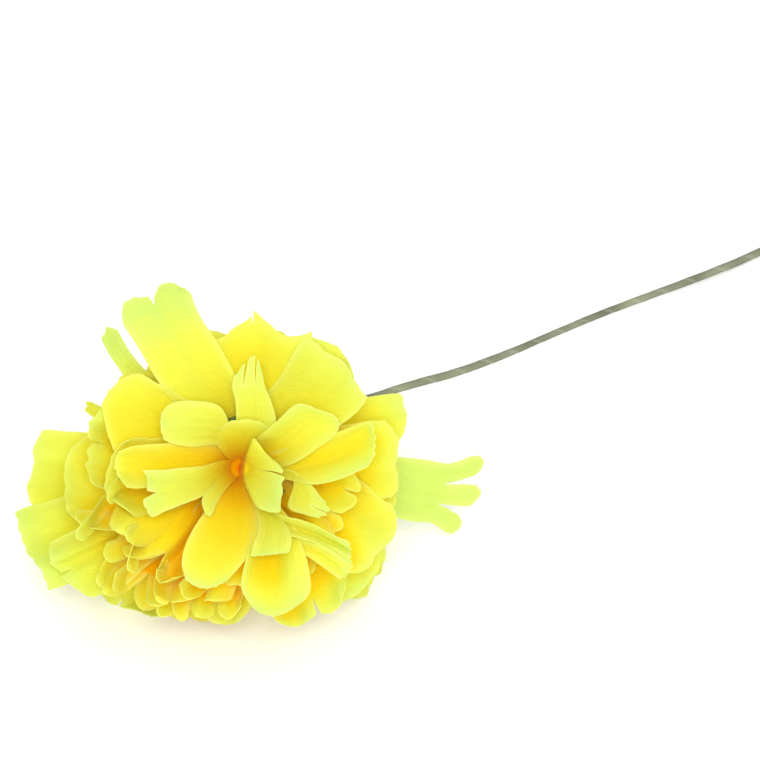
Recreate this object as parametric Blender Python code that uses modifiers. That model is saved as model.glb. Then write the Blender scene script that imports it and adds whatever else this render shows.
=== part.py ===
"""An artificial chrysanthemum on a tape-wrapped wire, lying on a table.

Six cloth petal layers and a plastic support star are threaded on the peg of a moulded calyx. A wire
wrapped in paper tape runs from the calyx down to the table. Lengths are in millimetres up to the
point where a mesh is made, and angles are in degrees unless a name says otherwise. The head has its
own frame: x to the right and y up as its face is seen, z out of the face, and the gather of the
petals at its origin.
"""

import math
import random

import bpy
import bmesh
import numpy as np
from mathutils import Matrix, Vector

MM = 0.001

# How the head lies: the height of the gather, how far the face looks up, how far it is turned from
# the stem's line, and where the gather is, so that the object's box is centred on the origin
GATHER_HEIGHT = 25.7
FACE_TILT = 40.0
FACE_TURN = 36.0
GATHER_X = -53.3
GATHER_Y = 2.25

# Cloth, and the gap between things that touch
CLOTH = 0.65
GAP = 0.3
SEED = 11

# Hubs, from the front layer back
LAYERS = 6
HUB_STEP = 1.5
STAR_ROOM = 0.7
HUB_RADIUS = 1.6
HUB_RADIUS_STEP = 0.7
HUB_RIM = 0.5
ROOT = 0.3
HUB_THICKNESS = 0.9
HUB_SIDES = 16

# Spread of the layers: how far each leans from the head's axis at its root, front to back, and how
# far it bends over in BEND_LENGTH
LEANS = (24.0, 34.0, 44.0, 55.0, 66.0, 78.0)
FRONT_BEND = 62.0
BEND_STEP = 2.0
BEND_LENGTH = 30.0

# How far the head's folds go in and out, and how much of a petal's end its curl takes
PLEAT = 2.2
LIP = 6.0

# Calyx: a turned cup with a peg in front and a socket for the wire behind
PEG_RADIUS = 0.9
CUP_TOP = -9.0
CUP_RADIUS = 4.4
NECK_RADIUS = 1.7
CUP_END = -18.0
SOCKET_DEPTH = 5.0
SEPALS = 6
SEPAL_LENGTH = 6.5
SEPAL_WIDTH = 3.6

# Support star
STAR_DEPTH = -1.1
STAR_RADIUS = 2.1
STAR_THICKNESS = 0.6
STAR_ARMS = 8
STAR_ARM_LENGTH = 11.0
STAR_ARM_WIDTH = 1.6
STAR_FIRST_ARM = 12.0

# Stem: wire and tape, and the route of their middle from the neck to the cut end, in the table's
# frame before centring
WIRE_RADIUS = 0.3
TAPE_INNER = 0.4
TAPE_OUTER = 0.56
TAPE_SWELLS = (
    (0.0, 1.0),
    (0.28, 0.98),
    (0.36, 1.2),
    (0.46, 1.14),
    (0.55, 0.95),
    (0.7, 1.0),
    (0.85, 1.15),
    (1.0, 1.15),
)
STEM_ROUTE = (
    (18.0, 20.0, 9.4),
    (30.0, 20.2, 9.3),
    (42.1, 18.0, 9.0),
    (50.3, 17.5, 8.1),
    (61.0, 16.4, 6.9),
    (72.7, 16.3, 5.7),
    (85.0, 16.8, 4.6),
    (97.5, 17.1, 3.6),
    (109.7, 16.9, 2.6),
    (122.0, 16.5, 1.7),
    (134.8, 16.4, 0.9),
    (144.0, 16.6, 0.65),
)
STEM_POINTS = 28

# Petal mesh, and the front petals' own
LAYER_ROWS = (5, 4, 4, 4, 4)
ACROSS = 4
FRONT_ROWS = 5
FRONT_ACROSS = 4

# End of a petal: fingers, slit depth, how far a finger's sides are rounded off, how far the
# petal's outer corners are, the share of a finger's width that the slit takes at its mouth, and how
# much the fingers spread
ENDS = {
    "stray": (3, 7.5, 1.6, -0.6, 0.3, 0.45),
    "pair": (2, 1.6, 1.5, 0.6, 0.1, 0.0),
    "square": (1, 0.0, 0.0, 0.2, 0.0, 0.0),
    "finger": (1, 0.0, 0.0, 1.2, 0.0, 0.0),
    "lobes": (2, 2.4, 0.6, 1.8, 0.09, 0.0),
    "trio": (3, 3.2, 1.2, 1.4, 0.1, 0.0),
    "round": (1, 0.0, 0.0, 3.0, 0.0, 0.0),
    "boxy": (1, 0.0, 0.0, 1.3, 0.0, 0.0),
    "strips": (4, 7.0, 1.3, 0.8, 0.2, 0.1),
    "fan": (2, 1.5, -2.3, 0.0, 0.03, 0.0),
}

# Petals by layer, back to front: where each points as the face is seen, how far it reaches, half
# its width, its end, and what is particular to it
PETALS = {
    1: (
        (-6.3, 42.0, 5.6, "stray", dict(cup=0.5, ruffle=0.5, sweep=0)),
        (68, 21.5, 8.5, "lobes", {}),
        (95, 22.5, 8.5, "lobes", {}),
        (128, 25, 8.0, "lobes", {}),
        (159.5, 30.3, 1.2, "finger", dict(cup=0.0, ruffle=0.3, sweep=0)),
        (189, 36.5, 8.5, "round", {}),
        (226, 33, 8.0, "lobes", {}),
        (273, 28, 9.0, "trio", {}),
        (326, 32.5, 8.0, "round", {}),
    ),
    2: (
        (5, 27, 8.5, "lobes", {}),
        (44, 24.0, 9.0, "lobes", {}),
        (110, 23.5, 8.5, "lobes", {}),
        (142, 34.5, 1.9, "finger", dict(cup=0.0, ruffle=0.2, sweep=-9)),
        (183, 38.4, 7.6, "boxy", dict(cup=0.5, ruffle=1.2, curl=0.5, sweep=0)),
        (204, 40.6, 7.6, "square", dict(cup=0.5, ruffle=1.2, curl=0.8, sweep=0)),
        (250, 29.0, 9.0, "trio", {}),
        (298, 31, 9.0, "lobes", {}),
    ),
    3: (
        (20, 29.6, 5.2, "boxy", dict(cup=0.5, ruffle=0.6, slant=-2.0)),
        (-18, 27, 8.0, "lobes", {}),
        (60, 23.5, 9.0, "lobes", {}),
        (120, 26, 9.0, "lobes", {}),
        (152, 27, 8.0, "round", {}),
        (188, 32, 8.5, "round", dict(curl=3.0, ruffle=1.2)),
        (212, 37.0, 6.0, "lobes", dict(ruffle=2.0, curl=1.5, slant=1.8)),
        (262, 28, 8.5, "lobes", {}),
        (318, 31.5, 8.5, "round", {}),
    ),
    4: (
        (0, 27.0, 7.0, "boxy", dict(cup=0.8, ruffle=0.8)),
        (-26, 29.5, 7.3, "round", dict(cup=0.8, ruffle=1.0)),
        (47, 26.9, 7.0, "round", dict(cup=1.0, ruffle=0.8)),
        (66, 23, 8.5, "round", dict(cup=0.5, ruffle=0.4)),
        (97, 22.3, 8.5, "round", dict(cup=0.5, ruffle=0.4)),
        (170, 29, 8.0, "lobes", dict(curl=4.0)),
        (203, 31, 8.0, "strips", dict(curl=5.0, loose=1.8, swing=10)),
        (231, 28.5, 8.5, "strips", dict(ruffle=3.0, curl=4.5, loose=1.8, swing=-12)),
        (254, 27, 7.0, "trio", dict(ruffle=3.0, curl=1.5, loose=1.2)),
        (303, 29.5, 8.0, "lobes", dict(curl=1.0)),
    ),
    5: (
        (84, 24.2, 11.5, "fan", dict(cup=0.0, ruffle=0.6, sweep=0, lean=3)),
        (115, 36.3, 6.4, "pair", dict(cup=0.8, ruffle=0.5, sweep=0, lean=-2)),
        (153, 27.4, 8.0, "round", dict(cup=1.0, ruffle=0.8)),
        (44, 25.7, 7.0, "square", dict(lean=-2, cup=0.6, ruffle=0.4)),
        (178, 24.5, 7.5, "round", dict(cup=1.5, curl=3.0, ruffle=0.8)),
        (200, 24.5, 7.5, "trio", dict(ruffle=2.5, curl=4.0, loose=1.0, swing=10)),
        (226, 24.5, 8.0, "strips", dict(ruffle=2.5, curl=4.0, loose=1.6, swing=14)),
        (250, 24, 7.0, "trio", dict(ruffle=2.5, curl=3.0, loose=1.2, swing=8)),
        (283, 22, 6.4, "boxy", dict(curl=1.5, ruffle=0.3)),
        (-48, 22.5, 6.0, "lobes", dict(ruffle=3.0, curl=1.5)),
        (-22, 21, 6.5, "trio", dict(cup=0.5, ruffle=1.5, curl=1.0)),
    ),
}

# Half the width of a front petal at the gather
FRONT_ROOT = 0.9

# Where the eye is in the head's frame: the front petals' points are given as they are seen from it
EYE = (25.0, 15.7, 600.0)

# Front petals, one by one: settings, then rows from the gather to the free edge, each a few points
# across as (x, y, how far it stands off the front layer's plain surface)
FRONT_PETALS = (
    (  # cover
        dict(fingers=1, slit=0, gap=0),
        ((-2.6, 2.2, 0.6), (-0.6, 3.4, 0.9), (1.2, 3.4, 0.9), (2.6, 2.4, 0.6)),
        ((-4.2, 4.2, 0.6), (-1.8, 5.8, 1.1), (1.6, 6.2, 1.1), (5, 4.6, 0.6)),
        ((-5, 6, 0.2), (-2.4, 8.1, 0.7), (2.4, 8.6, 0.8), (6.6, 6.6, 0.2)),
    ),
    (  # channel
        dict(fingers=1, slit=0, gap=0),
        ((-4.2, 3.9, 0), (-5.4, 2, 0), (-5.8, 0.2, 0), (-5.6, -1.2, 0)),
        ((-9, 4.8, 0), (-9.6, 2.2, -0.8), (-9.8, 0, -0.8), (-9.4, -2, 0)),
        ((-13.4, 4.4, -1.2), (-13.8, 2, -1.8), (-13.8, -0.4, -1.8), (-13.2, -2.9, -1.2)),
        ((-18.8, 3.9, -1.2), (-19.3, 2, -2), (-19.3, -0.4, -2), (-17.9, -3.6, -1)),
        ((-21.6, 2.9, -0.4), (-22.3, 1.4, -0.8), (-22.1, -0.7, -0.8), (-20.3, -3.4, 0)),
    ),
    (  # upper
        dict(fingers=3, slit=0.3, gap=0.3),
        ((-0.8, 5.2, 0.2), (0.4, 5.2, 0), (2.6, 5.2, 0), (5.3, 5.2, 0.2)),
        ((-0.7, 8.3, 0.2), (1, 8.7, 0), (3.3, 8.7, 0), (6.4, 8.3, 0.2)),
        ((-0.8, 11.8, 0.3), (0.8, 12.2, 0.2), (3.3, 12.2, 0.2), (5.7, 11.4, 0.3)),
        ((-1.5, 14.5, 0.8), (0.7, 15.7, 0.6), (2.8, 16.4, 0.6), (4.6, 14.1, 0.8)),
        ((-1.5, 15.6, 1.2), (1.2, 19, 1), (2.9, 19.9, 1), (4.1, 16.1, 1.2)),
    ),
    (  # rolled
        dict(fingers=1, slit=0, gap=0),
        ((3, 5.2, 2.5), (4.3, 3.3, 0.3), (5.7, 1.7, 0), (7, 0, 0.5)),
        ((6.6, 8.3, 3.5), (8.2, 6, 0.3), (9.5, 3.7, 0), (10.5, 1.3, 0.8)),
        ((10.3, 11.4, 3.5), (11.7, 8.5, 0.6), (12.8, 6, 0.2), (14, 3.7, 0.8)),
        ((14.2, 10.3, 2), (15.2, 8.9, 1), (15.9, 7.2, 0.6), (16.2, 5.2, 0.8)),
        ((16.5, 9.6, 1), (17.4, 8.7, 1), (17.7, 7.7, 0.8), (17.4, 6.6, 0.8)),
    ),
    (  # trough
        dict(fingers=1, slit=0, gap=0),
        ((5.7, 2.9, 0.2), (6.1, 1.2, 0), (6.8, -0.4, 0), (7.2, -1, 0), (7.4, -1.9, 0.5)),
        ((11.5, 4.3, -0.3), (12.1, 2.3, -1.5), (12.6, 0.4, -1.5), (12.8, -1, 0), (12.8, -2.9, 1.5)),
        ((17.3, 6.3, 0), (17.7, 4.3, -2.4), (18.1, 2.1, -2.4), (17.9, 0.4, 0), (17.3, -2.1, 2.5)),
        ((21.9, 7.9, 0.3), (21.9, 6.4, -2), (21.9, 4.1, -2), (21.7, 1.9, 0), (21, -0.6, 2.5)),
        ((23.2, 8.2, 0.6), (23.9, 6.4, 0.6), (24.1, 4.1, 0.6), (23.8, 1.9, 1), (22.7, 0.2, 2)),
    ),
    (  # scalloped
        dict(fingers=3, slit=0.2, gap=0.12),
        ((5.4, 0.2, 0.1), (5.6, -0.2, 0), (5.8, -0.6, 0.1)),
        ((8.9, -0.2, 0.4), (9.4, -1.2, 0.3), (9.6, -2.4, 0.4)),
        ((11.0, -1.6, 0.6), (10.9, -4.0, 0.5), (8.6, -6.9, 0.6)),
        ((12.3, -2.5, 0.8), (12.6, -5.6, 0.8), (11.5, -8.3, 1)),
        ((13.6, -4.1, 1.4), (15.9, -7.4, 1.4), (14, -9, 1.4)),
    ),
    (  # ruffle
        dict(fingers=1, slit=0, gap=0),
        ((4.1, -6, 0.5), (3.9, -6.8, 0), (3.7, -7.7, 0)),
        ((7.6, -8.4, 2.2), (7.2, -9.7, 0), (7.4, -11.4, 1)),
        ((10.7, -9.2, 2.5), (10.5, -11, -0.5), (10.1, -12.4, 1.5)),
        ((13.6, -10.3, 2.6), (13.6, -12, -0.5), (13.4, -13.4, 1.6)),
        ((16.5, -11.9, 2.2), (16.7, -13.4, -0.3), (16.7, -15.3, 1.4)),
        ((19.5, -13.1, 1.6), (19.7, -15.1, 0.5), (19.8, -17.2, 1)),
    ),
    (  # under
        dict(fingers=2, slit=0.12, gap=0.1),
        ((5.3, -9.9, 0.1), (4.5, -10.3, 0.1), (3.7, -10.7, 0.1)),
        ((10.7, -12.6, 0.2), (10.3, -13.4, -0.8), (9.5, -14.1, -0.8)),
        ((14.6, -14.1, 0.8), (14, -15.1, -1), (12.6, -16.1, -1)),
        ((17.3, -15.8, 1), (16.7, -16.8, -0.6), (15.3, -18, -0.8)),
        ((20.1, -17.3, 1), (19.2, -18.9, 0.2), (17.7, -19.9, 0)),
    ),
    (  # boxy
        dict(fingers=1, slit=0, gap=0),
        ((1.8, -9.1, 0), (3.3, -9.1, 0), (5.3, -9.1, 0), (7.2, -9.1, 0), (9.2, -9.5, 0)),
        ((1.5, -14.5, 0.8), (3.5, -14.5, -1.6), (6.1, -14.5, -1.8), (8.8, -14.1, 0.5), (11.5, -14.9, 0)),
        ((0.6, -18.4, 2.2), (3, -18.6, -1.8), (6.1, -18.9, -2.2), (9.2, -18.2, 1.8), (12.3, -18.2, 1.2)),
        ((0.3, -21.5, 2.6), (2.8, -22.1, 0.6), (6.1, -22.3, -0.2), (9.3, -21.7, 1.8), (12.6, -21.3, 2)),
        ((1.8, -24.3, 2.2), (3.7, -25, 1.8), (6.3, -25.2, 1.5), (9.2, -24.4, 2), (11.9, -23.1, 2.2)),
        ((3.3, -25.7, 1.4), (4.9, -26.3, 1.2), (6.5, -26.4, 1.2), (8.6, -25.6, 1.4), (10.4, -24.4, 1.4)),
    ),
    (  # flap
        dict(fingers=1, slit=0, gap=0),
        ((2.4, -5.6, 0.4), (4.1, -6.4, 0.8), (5.9, -7.2, 0.4)),
        ((3.3, -10.7, 1), (6.1, -10.8, 1.6), (8.8, -11, 1)),
        ((2.4, -13.6, 1.6), (5.7, -13.6, 2.2), (9.2, -13.4, 1.6)),
        ((1.8, -15.8, 2), (5.3, -15.5, 2.4), (8.8, -15.1, 2)),
    ),
    (  # tongue
        dict(fingers=1, slit=0, gap=0),
        ((-3, -3.2, 0.3), (-1.6, -3.5, 0), (-0.1, -3.7, 0), (1, -3.8, 0), (2, -3.4, 0.3)),
        ((-5.7, -7, 0.4), (-3.4, -7.7, 0), (-1.3, -8.1, -0.2), (0.7, -8.1, 0), (3, -7.6, 0.4)),
        ((-8, -10.3, 0.8), (-5.6, -11.1, -0.2), (-2.8, -12, -0.4), (0.1, -12.4, -0.2), (3.3, -12, 0.4)),
        ((-9.7, -13.7, 1.2), (-7.1, -14.8, 0), (-4.4, -15.8, -0.3), (-1.5, -16.1, 0), (1.8, -15.1, 0.6)),
        ((-10.4, -17, 1.4), (-8.1, -18.2, 0.6), (-5.6, -18.9, 0.3), (-3, -18.7, 0.5), (-0.3, -17.9, 1)),
        ((-9.7, -19.9, 1), (-8.1, -21, 0.8), (-6.3, -21.5, 0.8), (-4.2, -21.1, 0.8), (-2.2, -20, 1)),
    ),
    (  # finger
        dict(fingers=1, slit=0, gap=0),
        ((-3.1, -1, 0.8), (-2, -1.6, 1), (-0.9, -2.1, 0.8)),
        ((-6.1, -4.4, 1.4), (-4.7, -4.8, 1.8), (-2.8, -4.1, 1.3)),
        ((-6.8, -6, 1.6), (-5.6, -6.7, 1.9), (-4.2, -6.3, 1.6)),
        ((-6.1, -8.3, 1.5), (-5.5, -8.6, 1.5), (-5, -8.3, 1.5)),
    ),
    (  # left_flap
        dict(fingers=2, slit=0.16, gap=0.25),
        ((-2.8, 1.4, 1.2), (-2.9, 0.4, 1), (-2.9, -0.8, 0.8), (-2.8, -2, 0.6)),
        ((-6.7, 0.4, 2), (-6.8, -1.4, 1.6), (-6.8, -3.2, 1.2), (-6.6, -5, 1)),
        ((-11, 0, 2.2), (-11.1, -2.3, 1.6), (-11.1, -4.6, 1.2), (-11.1, -6.8, 1)),
        ((-14.5, -0.4, 2), (-14.4, -2.9, 1.4), (-14.4, -5.6, 1), (-14.1, -8.1, 0.8)),
        ((-17.4, 0.2, 1.6), (-16.5, -3, 1.2), (-17.1, -6.6, 0.8), (-15.4, -9.3, 0.6)),
    ),
    (  # oval
        dict(fingers=1, slit=0, gap=0),
        ((-1.6, 7.2, 0), (-1.9, 5.8, 0.2), (-2.1, 4.3, 0.3), (-1.9, 2.9, 0.2)),
        ((-3.8, 11.1, 0.3), (-4.4, 8.7, 0.7), (-4.8, 6.2, 0.8), (-4.6, 4.1, 0.6)),
        ((-8.7, 12, 0.3), (-8.7, 9.1, 0.9), (-8.7, 6.4, 1), (-8.7, 3.8, 0.9)),
        ((-12.3, 11.5, 0.2), (-12.3, 9.1, 0.7), (-12.3, 6.8, 0.8), (-12.1, 4.4, 0.7)),
        ((-14, 9.9, 0), (-14.2, 8.4, 0.3), (-14.1, 6.8, 0.3), (-13.6, 5.1, 0.3)),
    ),
    (  # upright
        dict(fingers=2, slit=0.33, gap=0.1),
        ((1.5, 3.3, 3), (0.9, 1, 4), (0.7, -1.4, 4), (1.4, -4.1, 3)),
        ((2.3, 5.2, 5), (1.2, 1.4, 6.5), (0.9, -1.9, 6.5), (2.9, -6.8, 5)),
        ((3, 4.8, 5.5), (2.8, 1, 7), (2.6, -2.1, 7), (4.6, -7.7, 5.5)),
        ((3.7, 3.9, 5), (5.3, 0.8, 6.5), (5.3, -2.3, 6.5), (6.1, -8.1, 5.2)),
        ((4.1, 2.9, 4.5), (7.4, 0, 5.5), (7.6, -2.9, 5.5), (7.1, -8.3, 4.8)),
    ),
)

COLOURS = {
    "cloth": (0.95, 0.85, 0.04),
    "green": (0.07, 0.12, 0.03),
    "tape": (0.26, 0.28, 0.19),
    "steel": (0.45, 0.45, 0.44),
}


def material(name, colour, roughness, metallic=0.0):
    made = bpy.data.materials.new(name)
    made.use_nodes = True
    shader = made.node_tree.nodes["Principled BSDF"]
    shader.inputs["Base Color"].default_value = (*colour, 1.0)
    shader.inputs["Roughness"].default_value = roughness
    shader.inputs["Metallic"].default_value = metallic
    made.diffuse_color = (*colour, 1.0)
    return made


def head_matrix():
    """Takes the head's frame, in millimetres, to the table's frame, in metres."""
    tilt, turn = math.radians(FACE_TILT), math.radians(FACE_TURN)
    right = Vector((math.cos(turn), -math.sin(turn), 0.0))
    back = Vector((math.sin(turn), math.cos(turn), 0.0))
    up = Vector((0.0, 0.0, 1.0))
    face = up * math.sin(tilt) - back * math.cos(tilt)
    rise = up * math.cos(tilt) + back * math.sin(tilt)
    turned = Matrix((right, rise, face)).transposed().to_4x4()
    gather = Vector((GATHER_X, GATHER_Y, GATHER_HEIGHT)) * MM
    return Matrix.Translation(gather) @ turned @ Matrix.Scale(MM, 4)


HEAD = head_matrix()


def to_table(points):
    world = np.array(HEAD)
    return points @ world[:3, :3].T + world[:3, 3]


def hub_depth(layer):
    back = LAYERS - layer
    return -(HUB_STEP * back + STAR_ROOM * (back > 0))


def hub_radius(layer):
    return HUB_RADIUS + HUB_RADIUS_STEP * (LAYERS - layer)


def side_lean(theta):
    """How much less a petal bends back, by where it points: most at the table."""
    lower_left = np.exp(-(((np.degrees(theta) % 360 - 225) / 38) ** 2))
    return 10.0 - 12.0 * np.sin(theta) - 3.0 * np.cos(theta) + 12.0 * lower_left


def arc(layer, theta, shape):
    """A petal's lean at the root and its bend per millimetre, both in radians."""
    back = LAYERS - layer
    lean = LEANS[back] + shape.get("lean", 0.0)
    bend = FRONT_BEND - BEND_STEP * back - side_lean(theta) + shape.get("bend", 0.0)
    return math.radians(lean), np.radians(bend) / BEND_LENGTH


def spine(layer, theta, along, shape):
    """(distance from the axis, height out of the face, angle from the axis) along a petal."""
    lean, bend = arc(layer, theta, shape)
    angle = lean + bend * along
    out = hub_radius(layer) + (math.cos(lean) - np.cos(angle)) / bend
    height = hub_depth(layer) + (np.sin(angle) - math.sin(lean)) / bend
    return out, height, angle


def petal_length(layer, theta, reach, shape):
    """The cloth length of a petal that reaches this far from the axis."""
    lean, bend = arc(layer, theta, shape)
    end = math.cos(lean) - bend * (reach - hub_radius(layer))
    return (math.acos(max(end, -0.95)) - lean) / bend


def room(along, layer):
    """How far a petal may stand off its layer, back and forward, before it meets the next one."""
    along = np.maximum(along, 0)
    back = ahead = 0.1 + 2.2 * (1 - np.exp(-along / 20))
    by_star = np.minimum(0.02 + 0.085 * along, back)
    if layer == LAYERS - 1:
        ahead = by_star
    return back, ahead


def grid(fingers, slit_row, rows, columns):
    """The petal's points as (row from 0 to 1, finger, place across the finger from -1 to 1), and
    its faces. Fingers share their border up to slit_row and are apart beyond it."""
    points, faces, index = [], [], {}
    for finger in range(fingers):
        for row in range(rows + 1):
            for column in range(columns + 1):
                if column == 0 and finger and row <= slit_row:
                    index[finger, row, 0] = index[finger - 1, row, columns]
                    continue
                index[finger, row, column] = len(points)
                points.append((row / rows, finger, 2 * column / columns - 1))
        for row in range(rows):
            for column in range(columns):
                corners = ((row, column), (row, column + 1), (row + 1, column + 1), (row + 1, column))
                faces.append([index[finger, *corner] for corner in corners])
    return np.array(points), faces


def shared_warp(points):
    """A slow unevenness and the pleats of the whole head, the same for all layers so that none
    meets the next."""
    x, y, z = points.T
    dx = 1.2 * np.sin(y / 9 + 1.0) + 0.6 * np.sin(z / 7)
    dy = 1.0 * np.sin(x / 8 + 0.5) + 0.5 * np.sin(z / 6 + 2.0)
    dz = 1.5 * np.sin(x / 10 + y / 12 + 2.0)
    radius = np.maximum(np.hypot(x, y), 1e-6)
    around = np.arctan2(y, x)
    fade = np.clip(radius / 12 - 0.3, 0, 1)
    grown = np.clip((radius - 7) / 20, 0, 1.2)
    side = 0.3 + 0.7 * (0.5 - 0.5 * np.cos(around - math.radians(45)))
    pleat = np.sin(7 * around + 0.07 * z + 1.3 * np.sin(2 * around))
    pleat = PLEAT * (pleat + 0.45 * np.sin(12 * around - 0.09 * z + 1)) * grown * side
    dx = dx * fade - 0.35 * pleat * x / radius
    dy = dy * fade - 0.35 * pleat * y / radius
    return points + np.stack([dx, dy, dz * fade + 0.9 * pleat], 1)


def blend_weights(place, count):
    """Smooth weights of a row of control points at places from 0 to count - 1."""
    index = np.clip(np.floor(place).astype(int), 0, count - 2)
    t = place - index
    weights = np.zeros((len(place), count + 2))
    parts = (
        (-t + 2 * t**2 - t**3) / 2,
        (2 - 5 * t**2 + 3 * t**3) / 2,
        (t + 4 * t**2 - 3 * t**3) / 2,
        (-(t**2) + t**3) / 2,
    )
    for step, part in enumerate(parts):
        weights[np.arange(len(place)), index + step] += part
    first, last = weights[:, 0], weights[:, -1]
    inner = weights[:, 1:-1]
    inner[:, 0] += 2 * first
    inner[:, 1] -= first
    inner[:, -1] += 2 * last
    inner[:, -2] -= last
    return inner


def plain_height(layer, x, y):
    """How far a layer's plain surface stands out of the face."""
    lean, bend = arc(layer, np.arctan2(y, x), {})
    hub = hub_radius(layer)
    out = np.maximum(np.hypot(x, y), hub)
    angle = np.arccos(np.clip(math.cos(lean) - bend * (out - hub), -0.95, 1))
    return hub_depth(layer) + (np.sin(angle) - math.sin(lean)) / bend


def with_root(rows):
    """A front petal's rows with one more at its root, across the gather."""
    middle = rows[0].mean(axis=0)[:2]
    ahead = middle / np.linalg.norm(middle)
    side = np.array([-ahead[1], ahead[0]])
    turned = np.sign((rows[0, 0, :2] - middle) @ side)
    spread = np.linspace(1, -1, rows.shape[1]) * turned * FRONT_ROOT
    root = np.zeros_like(rows[0])
    root[:, :2] = side * spread[:, None] - 0.2 * ahead
    return np.concatenate([root[None], rows])


def front_petal_points(number, rows, across):
    """(points in the head's frame, faces) of one front petal's middle surface."""
    shape, *control = FRONT_PETALS[number]
    control = with_root(np.array(control))
    fingers = shape["fingers"]
    slit_row = rows if fingers == 1 else round(rows * (1 - shape["slit"]))
    grid_points, faces = grid(fingers, slit_row, rows, max(2, round(across / fingers)))
    s, finger, c = grid_points.T
    past = np.clip((s - slit_row / rows) / max(1 - slit_row / rows, 1e-6), 0, 1)
    a = (2 * finger + 1 + c * (1 - shape["gap"] * past)) / fingers - 1
    by_row = blend_weights(s * (len(control) - 1), len(control))
    by_column = blend_weights((a + 1) / 2 * (control.shape[1] - 1), control.shape[1])
    x, y, stand = np.einsum("ir,ic,rcd->di", by_row, by_column, control)
    flat = np.stack([x, y, plain_height(LAYERS, x, y) + stand], 1)
    height = shared_warp(flat)[:, 2]
    nearer = height / EYE[2]
    return np.stack([x + (EYE[0] - x) * nearer, y + (EYE[1] - y) * nearer, height], 1), faces


def petal_points(layer, petal, draw, rows, across):
    """(points in the head's frame, faces) of one petal's middle surface."""
    aim, reach, half_width, end, shape = petal
    fingers, slit, rounding, corner, gap, splay = ENDS[end]
    theta = math.radians(aim)
    length = petal_length(layer, theta, reach, shape)
    slit_row = rows if slit == 0 else round(rows * (1 - slit / length))
    columns = 1 if fingers > 3 else max(2, round(across / fingers))
    grid_points, faces = grid(fingers, slit_row, rows, columns)
    s, finger, c = grid_points.T
    finger = finger.astype(int)
    uneven = np.array([draw.uniform(-0.8, 0.8) for _ in range(fingers)])
    tilt = np.array([draw.uniform(-1.2, 1.2) for _ in range(fingers)])
    cup = draw.uniform(-1.0, 2.5)
    twist = draw.uniform(-1.8, 1.8)
    waves = draw.uniform(1.2, 2.4)
    ruffle = draw.uniform(1.2, 3.0)
    phase = draw.uniform(0, 2 * math.pi)
    sweep = draw.uniform(-5, 5)
    cup = shape.get("cup", cup)
    ruffle = shape.get("ruffle", ruffle)
    sweep = shape.get("sweep", sweep)
    past = np.clip((s - slit_row / rows) / max(1 - slit_row / rows, 1e-6), 0, 1)
    a = (2 * finger + 1 + c * (1 - gap * past)) / fingers - 1
    drop = corner * np.abs(a) ** 3 + rounding * c**2
    drop = drop + 0.45 * np.sin(5.0 * a + phase) - uneven[finger] * (fingers > 1)
    drop = drop + shape.get("slant", 0.0) * a
    along = length * s - drop * np.clip((s - 0.45) / 0.55, 0, 1) ** 2 - ROOT * (s == 0)
    out = spine(layer, theta, along, shape)[0]
    root = shape.get("root", 0.2)
    width = half_width * (root + (1 - root) * np.sin(np.clip(s / 0.62, 0, 1) * math.pi / 2))
    width = width * (1 + splay * past)
    turn = np.tanh(a * width / np.maximum(out, 2.0) / 1.1) * 1.1
    around = theta + turn + math.radians(sweep) * s**2
    around = around + np.radians(shape.get("swing", 0.0) * uneven[finger]) * past
    out, height, angle = spine(layer, around, along, shape)
    stand = (
        cup * a**2 * np.sqrt(s)
        + twist * a * s
        + ruffle * s**1.5 * np.sin(waves * math.pi * a + phase)
        + 0.4 * ruffle * s * np.sin(along / 3.4 + phase)
        + tilt[finger] * past
    )
    behind, ahead = room(along, layer)
    most = np.where(stand < 0, behind, ahead)
    stand = most * np.tanh(stand / most)
    stand = stand + shape.get("curl", 0.0) * np.clip((along - length + LIP) / LIP, 0, 1) ** 2
    stand = stand + shape.get("loose", 0.0) * tilt[finger] * past
    out = out - stand * np.cos(angle)
    height = height + stand * np.sin(angle)
    return shared_warp(np.stack([out * np.cos(around), out * np.sin(around), height], 1)), faces


def rest_on_table(points, layer):
    """Presses the points of a layer that would go through the table flat above it."""
    floor = (CLOTH / 2 + (layer - 1) * (CLOTH + GAP)) * MM
    soft = 0.6 * MM
    points = points.copy()
    points[:, 2] = floor + soft * np.logaddexp(0, (points[:, 2] - floor) / soft)
    return points


def sheet_object(name, points, faces):
    """An open sheet of triangles, split the same way for both of its faces to come."""
    mesh = bpy.data.meshes.new(name)
    mesh.from_pydata([tuple(p) for p in points], [], faces)
    shape = bmesh.new()
    shape.from_mesh(mesh)
    bmesh.ops.triangulate(shape, faces=shape.faces)
    shape.to_mesh(mesh)
    shape.free()
    return bpy.data.objects.new(name, mesh)


def evaluated_mesh(thing):
    graph = bpy.context.evaluated_depsgraph_get()
    return bpy.data.meshes.new_from_object(thing.evaluated_get(graph), depsgraph=graph)


def keep_evaluated(thing):
    """Puts an object's modifiers into its mesh."""
    mesh = evaluated_mesh(thing)
    thing.modifiers.clear()
    thing.data = mesh


def thicken(thing, thickness, offset=0.0):
    solid = thing.modifiers.new("thickness", "SOLIDIFY")
    solid.thickness = thickness * MM
    solid.offset = offset


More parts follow.
